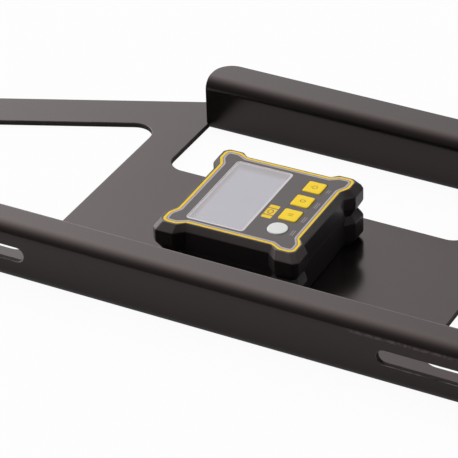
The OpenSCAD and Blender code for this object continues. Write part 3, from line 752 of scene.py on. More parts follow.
def plainFinish(name, colours, roughness, metallic=0.0, scale=120.0, grainScale=3000.0, bump=0.12):
    # mottled colour, varied roughness and a fine grain
    material, shader, place = newFinish(name, {"Metallic": metallic})
    grain = noise(place, grainScale, 2)
    feed(shader, {"Base Color": mixed(noise(place, scale, 3), *colours),
                  "Roughness": roughness - 0.06 + grain * 0.12})
    bumpFrom(grain, shader, bump, 0.00005)
    return material


coat = powderCoat()
case = mouldedCase()
film = printedFilm()
lens = clearLens()
glass = displayGlass()
print("main finishes made")


def foldPlan(s):
    # where the flat sheet bends, and where its two folded ends lie before that
    bendOut = s["bendRadius"] + s["thickness"]
    bendLength = math.pi / 2 * (s["bendRadius"] + s["thickness"] / 2)
    straight = s["wallHeight"] - 2 * bendOut
    folded = 2 * bendLength + straight
    frontLine, handleLine = s["frontFace"] + bendOut, s["handleFace"] + bendOut
    return {"bendOut": bendOut, "bendLength": bendLength, "straight": straight,
            "frontLine": frontLine, "frontEnd": frontLine - folded - (s["frontLip"] - bendOut),
            "handleLine": handleLine, "handleEnd": handleLine - folded - (s["handleLip"] - bendOut)}


def armEdge(s, x, inward=0.0):
    # the sloping rear edge of a side arm at x, or a line further in
    slope = math.radians(s["armSlope"])
    rear = s["handleFace"] + s["rearBar"]
    return rear - (x - s["handHole"] / 2) * math.tan(slope) - inward / math.cos(slope)


def sheetOutline(s, plan):
    endX, holeX, endY = s["length"] / 2, s["handHole"] / 2, plan["frontEnd"]
    rear, armEnd = armEdge(s, holeX), armEdge(s, endX)
    corners = [(-endX, endY), (endX, endY), (endX, armEnd), (holeX, rear), (-holeX, rear), (-endX, armEnd)]
    return rounded(corners, [s["frontLip"] - plan["bendOut"]] * 2 + [s["plateRound"]] * 4, s["cornerSteps"])


def handHole(s, plan):
    # the hole with the tab of the handle standing in it between two slits
    holeX, tabX, holeY = s["handHole"] / 2, s["handHole"] / 2 - s["slit"], s["handHoleFront"]
    line, end = plan["handleLine"], plan["handleEnd"]
    return rounded([(-holeX, line), (-holeX, holeY), (holeX, holeY), (holeX, line), (tabX, line), (tabX, end),
                    (-tabX, end), (-tabX, line)],
                   [0, s["handHoleRound"], s["handHoleRound"], 0, 0, s["lipRound"], s["lipRound"], 0],
                   s["cornerSteps"])


def sideWindow(s):
    nearX, farX = s["handHole"] / 2 + s["ribWidth"], s["length"] / 2 - s["endWidth"]
    frontY = s["frontFace"] + s["strip"]
    return rounded([(nearX, frontY), (farX, frontY), (farX, armEdge(s, farX, s["armWidth"])),
                    (nearX, armEdge(s, nearX, s["armWidth"]))], s["windowRound"], s["cornerSteps"])


def pegSlot(s, plan):
    middle = plan["frontLine"] - plan["bendLength"] - (s["slotHeight"] - plan["bendOut"])
    half, nearX, farX = s["slotWidth"] / 2, s["slotStart"], s["slotStart"] + s["slotLength"]
    low, high = middle - half, middle + half
    return rounded([(nearX, low), (farX, low), (farX, high), (nearX, high)], half * s["slotRoundShare"],
                   s["slotSteps"])


def bendHeights(s, plan):
    # lines across the sheet along which its bends turn, and one on the flat beside each bend
    length, heights = plan["bendLength"], []
    for line in (plan["frontLine"], plan["handleLine"]):
        for start in (0, length + plan["straight"]):
            heights += [line - start - length * i / s["bendSteps"] for i in range(s["bendSteps"] + 1)]
            heights += [line - start + s["besideBend"], line - start - length - s["besideBend"]]
    return heights


def sheetBlank(s, plan):
    # the sheet before it is folded
    holes = [handHole(s, plan)]
    for loop in (sideWindow(s), pegSlot(s, plan)):
        holes += [loop, [Vector((-point.x, point.y)) for point in loop]]
    shape = flatSolid(sheetOutline(s, plan), holes, 0, s["thickness"], s["edge"], bendHeights(s, plan),
                      s["length"] / 2 + s["over"])
    # the tab between the slits is what folds up into the handle
    tabX, line, end = s["handHole"] / 2 - s["slit"], plan["handleLine"], plan["handleEnd"]
    around = moveIn(rounded([(-tabX, end), (tabX, end), (tabX, line), (-tabX, line)],
                            [s["lipRound"], s["lipRound"], 0, 0], s["cornerSteps"]), -s["slit"] / 2)
    tab = shape.verts.layers.float.new("tab")
    for corner in shape.verts:
        if holds([around], corner.co.xy) and corner.co.y < line - tolerance["merge"]:
            corner[tab] = 1.0
    return shape


def foldTree():
    tree, given = growTree("foldedSheet", {"Front bend line": -51.0, "Handle bend line": 88.0,
                                           "Bend radius": 3.0, "Thickness": 2.5, "Wall height": 26.5})
    radius, thick, wall = given["Bend radius"], given["Thickness"], given["Wall height"]
    outer = radius + thick
    middle = radius + thick / 2
    bend = middle * (math.pi / 2)
    straight = wall - outer * 2
    geometry = given["Geometry"]
    onTab = geometry.make("GeometryNodeInputNamedAttribute", {"data_type": "FLOAT"}, {"Name": "tab"})
    for line, chosen in ((given["Handle bend line"], onTab), (given["Front bend line"], 1 - onTab)):
        place = geometry.make("GeometryNodeInputPosition")
        x, y, z = place.parts()
        past = line - y
        first = past.atLeast(0.0).atMost(bend)
        up = (past - bend).atLeast(0.0).atMost(straight)
        second = (past - bend - straight).atLeast(0.0).atMost(bend)
        lip = (past - bend * 2 - straight).atLeast(0.0)
        angle = (first + second) / middle
        reach = outer - z
        newY = line + (-past).atLeast(0.0) + lip - reach * angle.maths("SINE", angle)
        newZ = outer + up - reach * angle.maths("COSINE", angle)
        folded = place.make("ShaderNodeCombineXYZ", None, {0: x, 1: newY, 2: newZ})
        bends = chosen.maths("GREATER_THAN", chosen, 0.5)
        geometry = geometry.make("GeometryNodeSetPosition", None,
                                 {"Geometry": geometry, "Selection": bends, "Position": folded})
    closeTree(geometry, coat)
    return tree


plan = foldPlan(sheet)
folded = grown(foldTree(), {"Front bend line": plan["frontLine"], "Handle bend line": plan["handleLine"],
                            "Bend radius": sheet["bendRadius"], "Thickness": sheet["thickness"],
                            "Wall height": sheet["wallHeight"]}, sheetBlank(sheet, plan))
print("bracket folded:", len(folded.faces), "faces")
newPiece("foldedSheet", folded, "bracket", ["folded_bracket"], coat, crease=40)


onBox = (Matrix.Translation((-boxPlace["left"], boxPlace["back"], boxPlace["up"]))
         @ Matrix.Rotation(math.radians(boxPlace["turn"]), 4, "Z"))
offBox = onBox.inverted()

housing = {"height": 27.0, "split": 14.4, "side": 28.6, "soft": 0.42, "splitSoft": 0.15,
           "face": 26.9, "faceDeep": 0.6, "faceSoft": 0.12, "doorHalf": 13.5, "doorFrom": 20, "doorTop": 4}


def fromAxis(p):
    return max(abs(p.x), abs(p.y))


def outerEdge(middle):
    # every outer edge but those at the split, on the face and round the door's opening
    p, h = offBox @ middle, housing
    byDoor = abs(p.x) < h["doorHalf"] and p.y > h["doorFrom"] and p.z < h["doorTop"]
    outside = fromAxis(p) > h["side"] and p.z < h["height"] - 0.1
    return outside and abs(p.z - h["split"]) > 0.1 and not byDoor


def faceEdge(middle):
    p = offBox @ middle
    return fromAxis(p) > housing["face"] and p.z > housing["height"] - housing["faceDeep"]


def splitEdge(middle):
    p = offBox @ middle
    return fromAxis(p) > housing["side"] and abs(p.z - housing["split"]) < 0.1


for nodeName, pieceName in (("front_shell", "frontHousing"), ("rear_shell", "rearHousing")):
    shape = softCopy(nodeName, [(outerEdge, housing["soft"], 3), (splitEdge, housing["splitSoft"], 1),
                                (faceEdge, housing["faceSoft"], 2)])
    newPiece(pieceName, shape, "level_box", [nodeName], case, crease=35)

# the case's flat side and ear, the bevel over each, and the rim left beside the film
face = {"caseFlat": 29.2, "caseEar": 32.7, "flatBevel": 1.4, "earBevel": 2.4, "rim": 0.4,
        "rampAt": 18.7, "ramp": 4.1, "slopeShare": 0.55, "cut": 2.0, "corner": 0.5,
        "low": 26.5, "high": 27.0, "edge": 0.06, "window": (-8.7, 0.0, 24.5, 46.3), "windowRound": 1.2,
        "windowGap": 0.1, "keys": {"power": (16.9, 17.4), "zero": (16.9, 6.05), "hold": (16.9, -5.3),
                                   "lamp": (16.4, -16.2)},
        "keyWidth": 8.3, "keyRound": 1.1, "lampWidth": 8.7, "keyGap": 0.15}


def rampY(x, f):
    # where the slope between the flat side and the ear of the film has come out to x
    earOut = f["caseEar"] - f["caseFlat"]
    inward = f["slopeShare"] * f["earBevel"] + f["rim"]
    return f["rampAt"] + ((x - f["caseFlat"]) * f["ramp"] + inward * math.hypot(earOut, f["ramp"])) / earOut


def filmOutline(f):
    flat = f["caseFlat"] - f["flatBevel"] - f["rim"]
    ear = f["caseEar"] - f["earBevel"] - f["rim"]
    quarter = [(flat, rampY(flat, f)), (ear, rampY(ear, f)), (ear, ear - f["cut"]), (ear - f["cut"], ear),
               (rampY(ear, f), ear), (rampY(flat, f), flat)]
    around = (quarter + [(-x, y) for x, y in reversed(quarter)] + [(-x, -y) for x, y in quarter]
              + [(x, -y) for x, y in reversed(quarter)])
    return rounded(around, f["corner"], 4)


def squareAt(x, y, width, length, radius, steps=6):
    w, h = width / 2, length / 2
    return rounded([(x - w, y - h), (x + w, y - h), (x + w, y + h), (x - w, y + h)], radius, steps)


def circleAt(x, y, radius, steps=48):
    turns = [2 * math.pi * i / steps for i in range(steps)]
    return [Vector((x + radius * math.cos(turn), y + radius * math.sin(turn))) for turn in turns]


def keyLoop(name, grow):
    x, y = face["keys"][name]
    if name == "lamp":
        return circleAt(x, y, face["lampWidth"] / 2 + grow)
    width = face["keyWidth"] + 2 * grow
    return squareAt(x, y, width, width, face["keyRound"] + grow)


def windowPlate(grow, radius, low, high, edge, steps=6, soft=1):
    # a plate that fills the window, or one a little larger or smaller
    x, y, width, length = face["window"]
    outline = squareAt(x, y, width + grow, length + grow, radius, steps)
    return flatSolid(outline, [], low, high, edge, steps=soft)


# heights and edge of the clear layer, of the printed face under it, and of the panel behind
display = {"clear": (26.92, 27.0, 0.03), "printed": (25.5, 26.86, 0.05), "panel": (22.6, 24.4, 0.08),
           "cornerIn": 0.05, "panelIn": 1.2, "panelRound": 0.3}

x, y, width, length = face["window"]
filmHoles = [squareAt(x, y, width + face["windowGap"], length + face["windowGap"], face["windowRound"])]
filmHoles += [keyLoop(name, face["keyGap"]) for name in face["keys"]]
filmShape = flatSolid(filmOutline(face), filmHoles, face["low"], face["high"], face["edge"], steps=2)
newPiece("faceFilm", filmShape, "level_box", ["face_overlay"], film, onBox)
lensRound = face["windowRound"] - display["cornerIn"]
lensLayers = [windowPlate(0, lensRound, *display[layer]) for layer in ("clear", "printed")]
newPiece("displayLens", together(*lensLayers), "level_box", ["display_window"], lens, onBox)
newPiece("displayGlass", windowPlate(-display["panelIn"], display["panelRound"], *display["panel"], 3, 2),
         "level_box", ["display_panel"], glass, onBox)
print("housing, film and display made")

# sizes of the signs on the caps; the top of the face looks towards -X
signs = {"ring": 1.1, "zero": 0.85, "zeroLong": 1.25, "line": 0.17, "gap": 0.45, "stroke": 0.15,
         "strokeHalf": 0.75, "strokeAt": 1.0, "barsApart": 0.55, "bar": 0.2, "barHalf": 1.1, "soft": 0.12}


def powerMark(x, y):
    # the usual ring with a stroke through its top
    out = (x * x + y * y).root()
    ring = inside(abs(out - signs["ring"]) - signs["line"], signs["soft"])
    gap = inside(abs(y) - signs["gap"], 0.1) * inside(x, 0.1)
    stroke = inside(abs(y) - signs["stroke"], signs["soft"])
    stroke = stroke * inside(abs(x + signs["strokeAt"]) - signs["strokeHalf"], 0.1)
    return (ring * (1 - gap) + stroke).held()


def zeroMark(x, y):
    out = ((x / signs["zeroLong"]) ** 2 + y * y).root()
    return inside(abs(out - signs["zero"]) - signs["line"], signs["soft"])


def holdMark(x, y):
    bars = inside(abs(abs(y) - signs["barsApart"]) - signs["bar"], signs["soft"])
    return bars * inside(abs(x) - signs["barHalf"], signs["soft"])


keys = {"out": 0.45, "rim": 0.8, "rimThick": 0.8, "rimEdge": 0.1, "under": 23.6, "sink": 0.3, "edge": 0.5,
        "crown": 0.1}
marks = {"power": powerMark, "zero": zeroMark, "hold": holdMark}


def keyCap(name):
    # a softly rounded cap, low crowned on top, over the rim that keeps it in
    cx, cy = face["keys"][name]
    flatTop = face["high"] + keys["out"] - keys["crown"]
    cap = flatSolid(keyLoop(name, 0), [], keys["under"] + keys["sink"], flatTop, keys["edge"], steps=5)
    for corner in cap.verts:
        if corner.co.z > flatTop - keys["edge"] - 0.01:
            away = max(abs(corner.co.x - cx), abs(corner.co.y - cy)) / (face["keyWidth"] / 2)
            corner.co.z += keys["crown"] * max(0, 1 - away * away)
    rim = flatSolid(keyLoop(name, keys["rim"]), [], keys["under"], keys["under"] + keys["rimThick"],
                    keys["rimEdge"], steps=1)
    return together(cap, rim)


for name in face["keys"]:
    pale = name == "lamp"
    finish = keyFinish("paleKey" if pale else name + "Key", keyColours["pale" if pale else "yellow"], name)
    newPiece(name + "Cap", keyCap(name), name + "_button", [name + "_key"], finish,
             onBox)


print("keys made")


def turnAbout(tree, axis, angle):
    # a turn about an axis, for instances
    return Wire(tree, None).make("FunctionNodeAxisAngleToRotation", None, {"Axis": axis, "Angle": angle})


def ringTree():
    # copies of the incoming shape, evenly turned about Z
    tree, given = growTree("ringOfCopies", {"Copies": 20})
    shape, copies = given["Geometry"], given["Copies"]
    spots = shape.make("GeometryNodeMeshLine", None, {"Count": copies, "Offset": (0, 0, 0)})
    index = spots.make("GeometryNodeInputIndex")
    placed = spots.make("GeometryNodeInstanceOnPoints", None, {
        "Points": spots, "Instance": shape,
        "Rotation": turnAbout(tree, (0, 0, 1), index * (2 * math.pi) / copies)})
    closeTree(placed, anodised)
    return tree


def rowTree():
    # copies of the incoming shape in a row along X
    tree, given = growTree("rowOfCopies", {"Copies": 8, "Pitch": 1.0})
    copies, pitch = given["Copies"], given["Pitch"]
    step = pitch.make("ShaderNodeCombineXYZ", None, {0: pitch})
    first = pitch.make("ShaderNodeCombineXYZ", None, {0: (copies - 1) * pitch * -0.5})
    spots = step.make("GeometryNodeMeshLine", None, {
        "Count": copies, "Start Location": first, "Offset": step})
    placed = spots.make("GeometryNodeInstanceOnPoints", None, {
        "Points": spots, "Instance": given["Geometry"]})
    closeTree(placed, zinc)
    return tree


def coilTree():
    # a wire wound up a cone or a cylinder about Z
    tree, given = growTree("woundWire", {"Turns": 4.0, "Start radius": 2.8, "End radius": 1.3, "Height": 1.2,
                                         "Wire radius": 0.2})
    path = given["Turns"].make("GeometryNodeCurveSpiral", None, {
        "Resolution": 28, "Rotations": given["Turns"], "Start Radius": given["Start radius"],
        "End Radius": given["End radius"], "Height": given["Height"]})
    section = path.make("GeometryNodeCurvePrimitiveCircle", None,
                        {"Resolution": 8, "Radius": given["Wire radius"]})
    wound = path.make("GeometryNodeCurveToMesh", None, {"Curve": path, "Profile Curve": section,
                                                        "Fill Caps": True})
    closeTree(wound, zinc)
    return tree


def threadTree():
    # a rod with a screw thread cut along it and both ends pointed off a little
    tree, given = growTree("threadedRod", {"Radius": 3.0, "Thread depth": 0.5, "Pitch": 1.0, "Length": 27.0,
                                           "End cut": 0.6})
    full, long = given["Radius"], given["Length"]
    rod = full.make("GeometryNodeMeshCylinder", None, {"Vertices": 36, "Side Segments": 216, "Radius": full,
                                                       "Depth": long})
    place = rod.make("GeometryNodeInputPosition")
    x, y, z = place.parts()
    wound = z / given["Pitch"] - y.maths("ARCTAN2", y, x) / (2 * math.pi)
    wave = abs(wound.maths("FRACT", wound) - 0.5) * 2
    cut = ((wave - 0.12) * 1.25).held() * given["Thread depth"]
    radius = (full - cut).atMost(full - given["End cut"] + (long / 2 - abs(z)))
    share = radius / (x * x + y * y).root().atLeast(0.001)
    pushed = place.make("ShaderNodeCombineXYZ", None, {0: x * share, 1: y * share, 2: z})
    cutRod = rod.make("GeometryNodeSetPosition", None, {"Geometry": rod, "Position": pushed})
    closeTree(cutRod, zinc)
    return tree


chipPart = {"body": (0.76, 0.5, 0.3), "end": (0.2, 0.54, 0.34), "endAt": 0.42, "sizes": (0.9, 1.5),
            "faces": 18}


def smallPartsTree():
    # two-ended chip parts at the incoming points; which stay, their turn and their size are seeded
    tree, given = growTree("smallParts", {"Length": 1.0, "Share kept": 0.62, "Seed": 7})
    seed, endAt = given["Seed"], chipPart["endAt"]
    body = given["Length"].make("GeometryNodeMeshCube", None, {"Size": chipPart["body"]})
    ends = body.make("GeometryNodeMeshLine", None, {"Count": 2, "Start Location": (-endAt, 0, 0),
                                                    "Offset": (2 * endAt, 0, 0)})
    end = body.make("GeometryNodeMeshCube", None, {"Size": chipPart["end"]})
    ends = ends.make("GeometryNodeInstanceOnPoints", None, {"Points": ends, "Instance": end})
    ends = ends.make("GeometryNodeStoreNamedAttribute", {"data_type": "FLOAT", "domain": "POINT"}, {
        "Geometry": ends.make("GeometryNodeRealizeInstances", None, {0: ends}), "Name": "metalEnd",
        "Value": 1.0})
    part = ends.make("GeometryNodeJoinGeometry")
    for piece in (body, ends):
        piece.linkTo(part.socket.node.inputs[0])
    kept = part.make("FunctionNodeRandomValue", {"data_type": "BOOLEAN"},
                     {"Probability": given["Share kept"], "Seed": seed}, 3)
    turn = part.make("FunctionNodeRandomValue", {"data_type": "INT"},
                     {"Min": 0, "Max": 1, "Seed": seed + 1}, 2)
    least, most = chipPart["sizes"]
    big = part.make("FunctionNodeRandomValue", {"data_type": "FLOAT"},
                    {"Min": least, "Max": most, "Seed": seed + 2}, 1)
    placed = part.make("GeometryNodeInstanceOnPoints", None, {
        "Points": given["Geometry"], "Selection": kept, "Instance": part, "Scale": big * given["Length"],
        "Rotation": turnAbout(tree, (0, 0, 1), turn * (math.pi / 2))})
    closeTree(placed, partsFinish)
    return tree


def metalFinish(name, colours, roughness, lines=(1, 1, 1)):
    # bare or plated metal; lines stretches the fine marks round a turned part
    material, shader, place = newFinish(name, {"Metallic": 1.0})
    drawn = place.make("ShaderNodeMapping", None, {"Vector": place, "Scale": lines})
    fine, cloud = noise(drawn, 900, 3, 0.6), noise(place, 160, 3)
    feed(shader, {"Base Color": mixed(cloud, *colours),
                  "Roughness": roughness - 0.08 + fine * 0.14 + cloud * 0.06})
    bumpFrom(fine, shader, 0.16, 0.00006)
    return material


boardLook = {"mask": (0.008, 0.085, 0.032, 1), "track": (0.02, 0.16, 0.06, 1), "tin": (0.62, 0.58, 0.42, 1),
             "hole": (0.02, 0.02, 0.02, 1), "cell": (3.1, 4.3), "tracksPerMillimetre": 1.3, "trackHalf": 0.11,
             "viaPitch": (2.6, 3.4), "via": 0.34, "viaHole": 0.15, "viaShare": 0.55}


def repeated(value, pitch):
    # distance from the middle of a span that repeats
    spans = value / pitch
    return abs(spans.maths("FRACT", spans) - 0.5) * pitch


def boardFinish():
    # green solder mask over tracks, with tinned pads and vias
    look = boardLook
    material, shader, place = newFinish("solderMask", {"IOR": 1.5})
    x, y = boxCoordinates(place).parts()[:2]
    cellX, cellY = x / look["cell"][0], y / look["cell"][1]
    column, row = cellX.maths("FLOOR", cellX), cellY.maths("FLOOR", cellY)
    cell = x.make("ShaderNodeCombineXYZ", None, {0: column, 1: row})
    chance = cell.make("ShaderNodeTexWhiteNoise", {"noise_dimensions": "3D"}, {"Vector": cell})
    upright = inside(0.5 - chance, 0.01)
    lanes = [abs(lane.maths("PINGPONG", lane, 0.5) - 0.25)
             for lane in (x * look["tracksPerMillimetre"], y * look["tracksPerMillimetre"])]
    track = inside((lanes[0] * upright + lanes[1] * (1 - upright)) - look["trackHalf"], 0.04)
    viaX, viaY = repeated(x, look["viaPitch"][0]), repeated(y, look["viaPitch"][1])
    out = (viaX * viaX + viaY * viaY).root()
    ring = inside(out - look["via"], 0.05) * inside(chance - look["viaShare"], 0.01)
    colour = mixed(ring, mixed(track, look["mask"], look["track"]), look["tin"])
    # painted shade: a near-black disc in each via's middle stands in for its hole
    colour = mixed(ring * inside(out - look["viaHole"], 0.05), colour, look["hole"])
    feed(shader, {"Base Color": colour, "Metallic": ring * 0.9,
                  "Roughness": 0.26 + noise(place, 900, 2) * 0.12})
    bumpFrom(track * 0.6 + ring * 0.8 + noise(place, 3000, 1) * 0.1, shader, 0.3, 0.00003)
    return material


def chipFinish():
    # matt moulded packages, each with the dot that marks its first leg
    material, shader, place = newFinish("chipPackage", {"Specular IOR Level": 0.4})
    x, y = boxCoordinates(place).parts()[:2]
    dots = None
    for cx, cy, w, l in boardParts["chips"]:
        dx, dy = x - (cx - w / 2 + boardParts["dotIn"]), y - (cy - l / 2 + boardParts["dotIn"])
        dot = inside((dx * dx + dy * dy).root() - boardParts["dot"], 0.08)
        dots = dot if dots is None else dots + dot
    grain = noise(place, 3800, 3, 0.6)
    black = mixed(grain, (0.018, 0.018, 0.019, 1), (0.03, 0.03, 0.031, 1))
    feed(shader, {"Base Color": mixed(dots.held() * 0.7, black, grey(0.2)),
                  "Roughness": 0.5 + grain * 0.15 - dots * 0.2})
    bumpFrom(grain - dots * 0.6, shader, 0.2, 0.00005)
    return material


def smallPartsFinish():
    # tinned ends, and bodies that are black or brown by a chance of their own
    material, shader, place = newFinish("smallParts", {"Specular IOR Level": 0.5})
    end = place.make("ShaderNodeAttribute", {"attribute_name": "metalEnd"}, out=2)
    square = place.make("ShaderNodeVectorMath", {"operation": "SNAP"}, {0: place, 1: (0.0035, 0.0035, 1)})
    pick = place.make("ShaderNodeTexWhiteNoise", None, {"Vector": square})
    body = mixed(inside(pick - 0.5, 0.02), (0.012, 0.012, 0.013, 1), (0.36, 0.25, 0.15, 1))
    feed(shader, {"Base Color": mixed(end, body, (0.72, 0.72, 0.7, 1)), "Metallic": end,
                  "Roughness": 0.42 - end * 0.12 + noise(place, 4000, 1) * 0.1})
    return material


jacketLook = {"blue": [(0.022, 0.045, 0.085, 1), (0.028, 0.055, 0.10, 1)], "print": (0.75, 0.74, 0.7, 1),
              "metal": [(0.62, 0.61, 0.59, 1), (0.72, 0.71, 0.69, 1)], "middle": -0.25, "half": 20.75,
              "ringAt": -18.2, "ringHalf": 0.7, "plusAt": -14.5, "minusAt": 16.5, "arm": 1.2, "bar": 0.28}


def crossBars(across, along, look):
    return inside(abs(across) - look["bar"], 0.1) * inside(abs(along) - look["arm"], 0.1)


def cellFinish():
    # a plain jacket with a pale ring, bare metal ends and the usual plus and minus signs
    look = jacketLook
    material, shader, place = newFinish("cellJacket", {"IOR": 1.5})
    x, y = boxCoordinates(place).parts()[:2]
    metal = inside(look["half"] - abs(y - look["middle"]), 0.05)
    ring = inside(abs(y - look["ringAt"]) - look["ringHalf"], 0.06)
    fromCell = abs(x) - cells["across"]
    plusY, minusY = y - look["plusAt"], y - look["minusAt"]
    plus = (crossBars(fromCell, plusY, look) + crossBars(plusY, fromCell, look)).held()
    minus = crossBars(minusY, fromCell, look)
    cloud = noise(place, 220, 3)
    jacket = mixed((plus + minus + ring).held(), mixed(cloud, *look["blue"]), look["print"])
    feed(shader, {"Base Color": mixed(metal, jacket, mixed(cloud, *look["metal"])), "Metallic": metal,
                  "Roughness": 0.2 + cloud * 0.12})
    bumpFrom(cloud, shader, 0.05, 0.00004)
    return material


def switchFinish():
    # a pressed steel can with a black button on top
    material, shader, place = newFinish("pressedSwitch", {"Specular IOR Level": 0.5})
    button = inside(boardParts["switchTop"] * mm - place.parts()[2], 0.00002)
    cloud = noise(place, 500, 2)
    can = mixed(cloud, (0.55, 0.55, 0.56, 1), grey(0.66))
    feed(shader, {"Base Color": mixed(button, can, (0.02, 0.02, 0.021, 1)), "Metallic": 1 - button,
                  "Roughness": 0.28 + cloud * 0.1 + button * 0.2})
    bumpFrom(noise(place, 2600, 2), shader, 0.1, 0.00004)
    return material


def nylonFinish():
    material, shader, place = newFinish("naturalNylon", {
        "Subsurface Weight": 0.25, "Subsurface Scale": 0.002, "Specular IOR Level": 0.45})
    grain = noise(place, 2600, 3)
    feed(shader, {"Base Color": mixed(noise(place, 90, 3), (0.76, 0.75, 0.69, 1), (0.85, 0.84, 0.79, 1)),
                  "Roughness": 0.4 + grain * 0.16})
    bumpFrom(grain, shader, 0.18, 0.00008)
    return material


# chips and kept-free areas are middle x and y, width and length
boardParts = {"under": 19.3, "chips": [(-9.01, 7.95, 10.07, 10.07), (-14.84, -9.01, 4.77, 5.83),
                                       (9.01, 12.72, 4.24, 3.18)],
              "dotIn": 0.9, "dot": 0.3, "chipMargin": 4.6, "legs": [12, 5, 4], "legPitch": [0.75, 0.95, 0.65],
              "fourSided": 8, "switchTop": 25.16,
              "kept": [(4.24, -4.24, 5.6, 5.6), (15.9, -13.78, 10, 10), (24.3, 0, 4.5, 4.5),
                       (-24.3, 0, 4.5, 4.5), (0, 0, 3, 55)],
              "reach": 24.5, "cornerFree": 8, "pitch": 2.7, "partLength": 0.9, "partDown": 0.18, "seed": 11}
cells = {"across": 5.45, "up": 7.95, "radius": 5.25, "half": 22.25, "cap": 2.6, "capHeight": 1.0,
         "dish": (3.3, 3.6), "dishDeep": 0.15, "ring": (4.5, 4.2), "ringDeep": 0.3,
         "springAt": 23.95, "springTurns": 3.6, "springFoot": 2.8, "springTip": 1.35, "springLong": 1.15,
         "springWire": 0.2}
zinc = metalFinish("zincPlate", [(0.60, 0.61, 0.63, 1), (0.69, 0.69, 0.67, 1)], 0.27)
aluminium = metalFinish("turnedAluminium", [(0.66, 0.67, 0.69, 1), (0.74, 0.75, 0.77, 1)], 0.27,
                        (0.03, 3.0, 0.03))
nickel = metalFinish("nickelPlate", [(0.64, 0.62, 0.59, 1), (0.72, 0.70, 0.67, 1)], 0.15)
brass = metalFinish("springBrass", [(0.76, 0.58, 0.27, 1), (0.83, 0.67, 0.36, 1)], 0.25, (0.2, 1, 1))
canSteel = metalFinish("sensorCan", [(0.5, 0.5, 0.51, 1), (0.58, 0.58, 0.59, 1)], 0.3, (1, 0.1, 1))
anodised = plainFinish("blackAnodised", [(0.018, 0.018, 0.019, 1), (0.03, 0.03, 0.032, 1)], 0.36, 0.55,
                       200, 2600)
buzzerBlack = plainFinish("buzzerBlack", [(0.014, 0.014, 0.015, 1), (0.022, 0.022, 0.023, 1)], 0.45)
whiteFrame = plainFinish("whiteFrame", [(0.76, 0.75, 0.72, 1), (0.82, 0.81, 0.78, 1)], 0.45)
diffuser = plainFinish("diffuserSheet", [(0.83, 0.84, 0.85, 1), (0.88, 0.89, 0.9, 1)], 0.55, 0, 60, 900, 0.25)
nylon = nylonFinish()
board = boardFinish()
chips = chipFinish()
partsFinish = smallPartsFinish()
jacket = cellFinish()
switches = switchFinish()
print("small finishes made")

# heights are along the peg, out from the front wall's face
pegs = {"x": 200.0, "length": 34.0, "from": 1.3, "radius": 7.0, "edge": 1.0,
        "groove": 11.333, "grooveDeep": 1.0, "grooveWide": 3.0, "neck": 4.0, "neckLong": 8.0,
        "bore": 3.05, "boreDeep": 12.0, "tip": 8.0, "tipFrom": 35.35, "tipLong": 12.0, "tipRound": 3.0,
        "tipGap": 0.05, "washer": 6.5, "washerThick": 1.2, "washerFrom": {"front": 0.05, "back": -3.75},
        "studFrom": -13.8, "studTo": 13.25, "stud": 3.0, "studCut": 0.6, "threadDeep": 0.48,
        "threadPitch": 1.0}
nut = {"from": -3.8, "long": 14.0, "radius": 9.0, "flange": 1.6, "core": 7.4, "gripFrom": 3.2, "gripTo": 12.4,
       "ribs": 20, "groove": 0.9, "grooveTurns": (14, 34, 54, 74, 91), "ribRoot": 7.6, "ribRootShare": 0.9,
       "ribEdge": 0.16, "drum": 8.12, "drumIn": 0.15, "bore": 3.05, "end": 2.0, "soft": 0.28}


def ribShape(n):
    # one grip rib between two round grooves, pointing along X
    half, root = math.pi / n["ribs"], math.pi / n["ribs"] * n["ribRootShare"]
    middle = Vector((math.cos(half), -math.sin(half))) * n["radius"]
    toAxis = -middle.normalized()
    lower = [Vector((n["ribRoot"] * math.cos(root), -n["ribRoot"] * math.sin(root)))]
    for degrees in n["grooveTurns"]:
        turn = math.radians(-degrees)
        way = Vector((toAxis.x * math.cos(turn) - toAxis.y * math.sin(turn),
                      toAxis.x * math.sin(turn) + toAxis.y * math.cos(turn)))
        lower.append(middle + way * n["groove"])
    outline = lower + [Vector((n["radius"] - 0.02, 0))] + [Vector((p.x, -p.y)) for p in reversed(lower)]
    return flatSolid(outline, [], -n["gripTo"], -n["gripFrom"], n["ribEdge"], steps=2)


def turnedPeg(p):
    low, high = p["from"], p["from"] + p["length"]
    deep, groove = p["radius"] - p["grooveDeep"], low + p["groove"]
    grooveEnd = groove + p["grooveWide"]
    return turned([(0, low + p["boreDeep"]), (p["bore"], low + p["boreDeep"]), (p["bore"], low),
                   (p["radius"] - p["edge"], low), (p["radius"], low + p["edge"]), (p["radius"], groove),
                   (deep, groove + p["grooveDeep"]), (deep, grooveEnd - p["grooveDeep"]),
                   (p["radius"], grooveEnd), (p["radius"], high - p["edge"]),
                   (p["radius"] - p["edge"], high), (p["neck"], high), (p["neck"], high + p["neckLong"]),
                   (0, high + p["neckLong"])],
                  [0, 0, 0.2, 0.2, 0.2, 0.15, 0.2, 0.2, 0.15, 0.2, 0.2, 0.1, 0.3, 0])


def nylonTip(p):
    low, high = p["tipFrom"], p["tipFrom"] + p["tipLong"]
    bore, boreEnd = p["neck"] + p["tipGap"], low + (p["neckLong"] + p["tipGap"])
    return turned([(0, boreEnd), (bore, boreEnd), (bore, low), (p["tip"], low), (p["tip"], high), (0, high)],
                  [0, 0.2, 0.25, 0.35, p["tipRound"], 0])


def flatWasher(p, start):
    end = start + p["washerThick"]
    return turned([(p["bore"], start), (p["washer"], start), (p["washer"], end), (p["bore"], end)],
                  [0.08, 0.3, 0.22, 0.08])


def threadedStud(p):
    long = p["studTo"] - p["studFrom"]
    stud = grown(rod, {"Radius": p["stud"], "Thread depth": p["threadDeep"], "Pitch": p["threadPitch"],
                       "Length": long, "End cut": p["studCut"]})
    return moved(stud, Matrix.Translation((0, 0, p["studFrom"] + long / 2)))


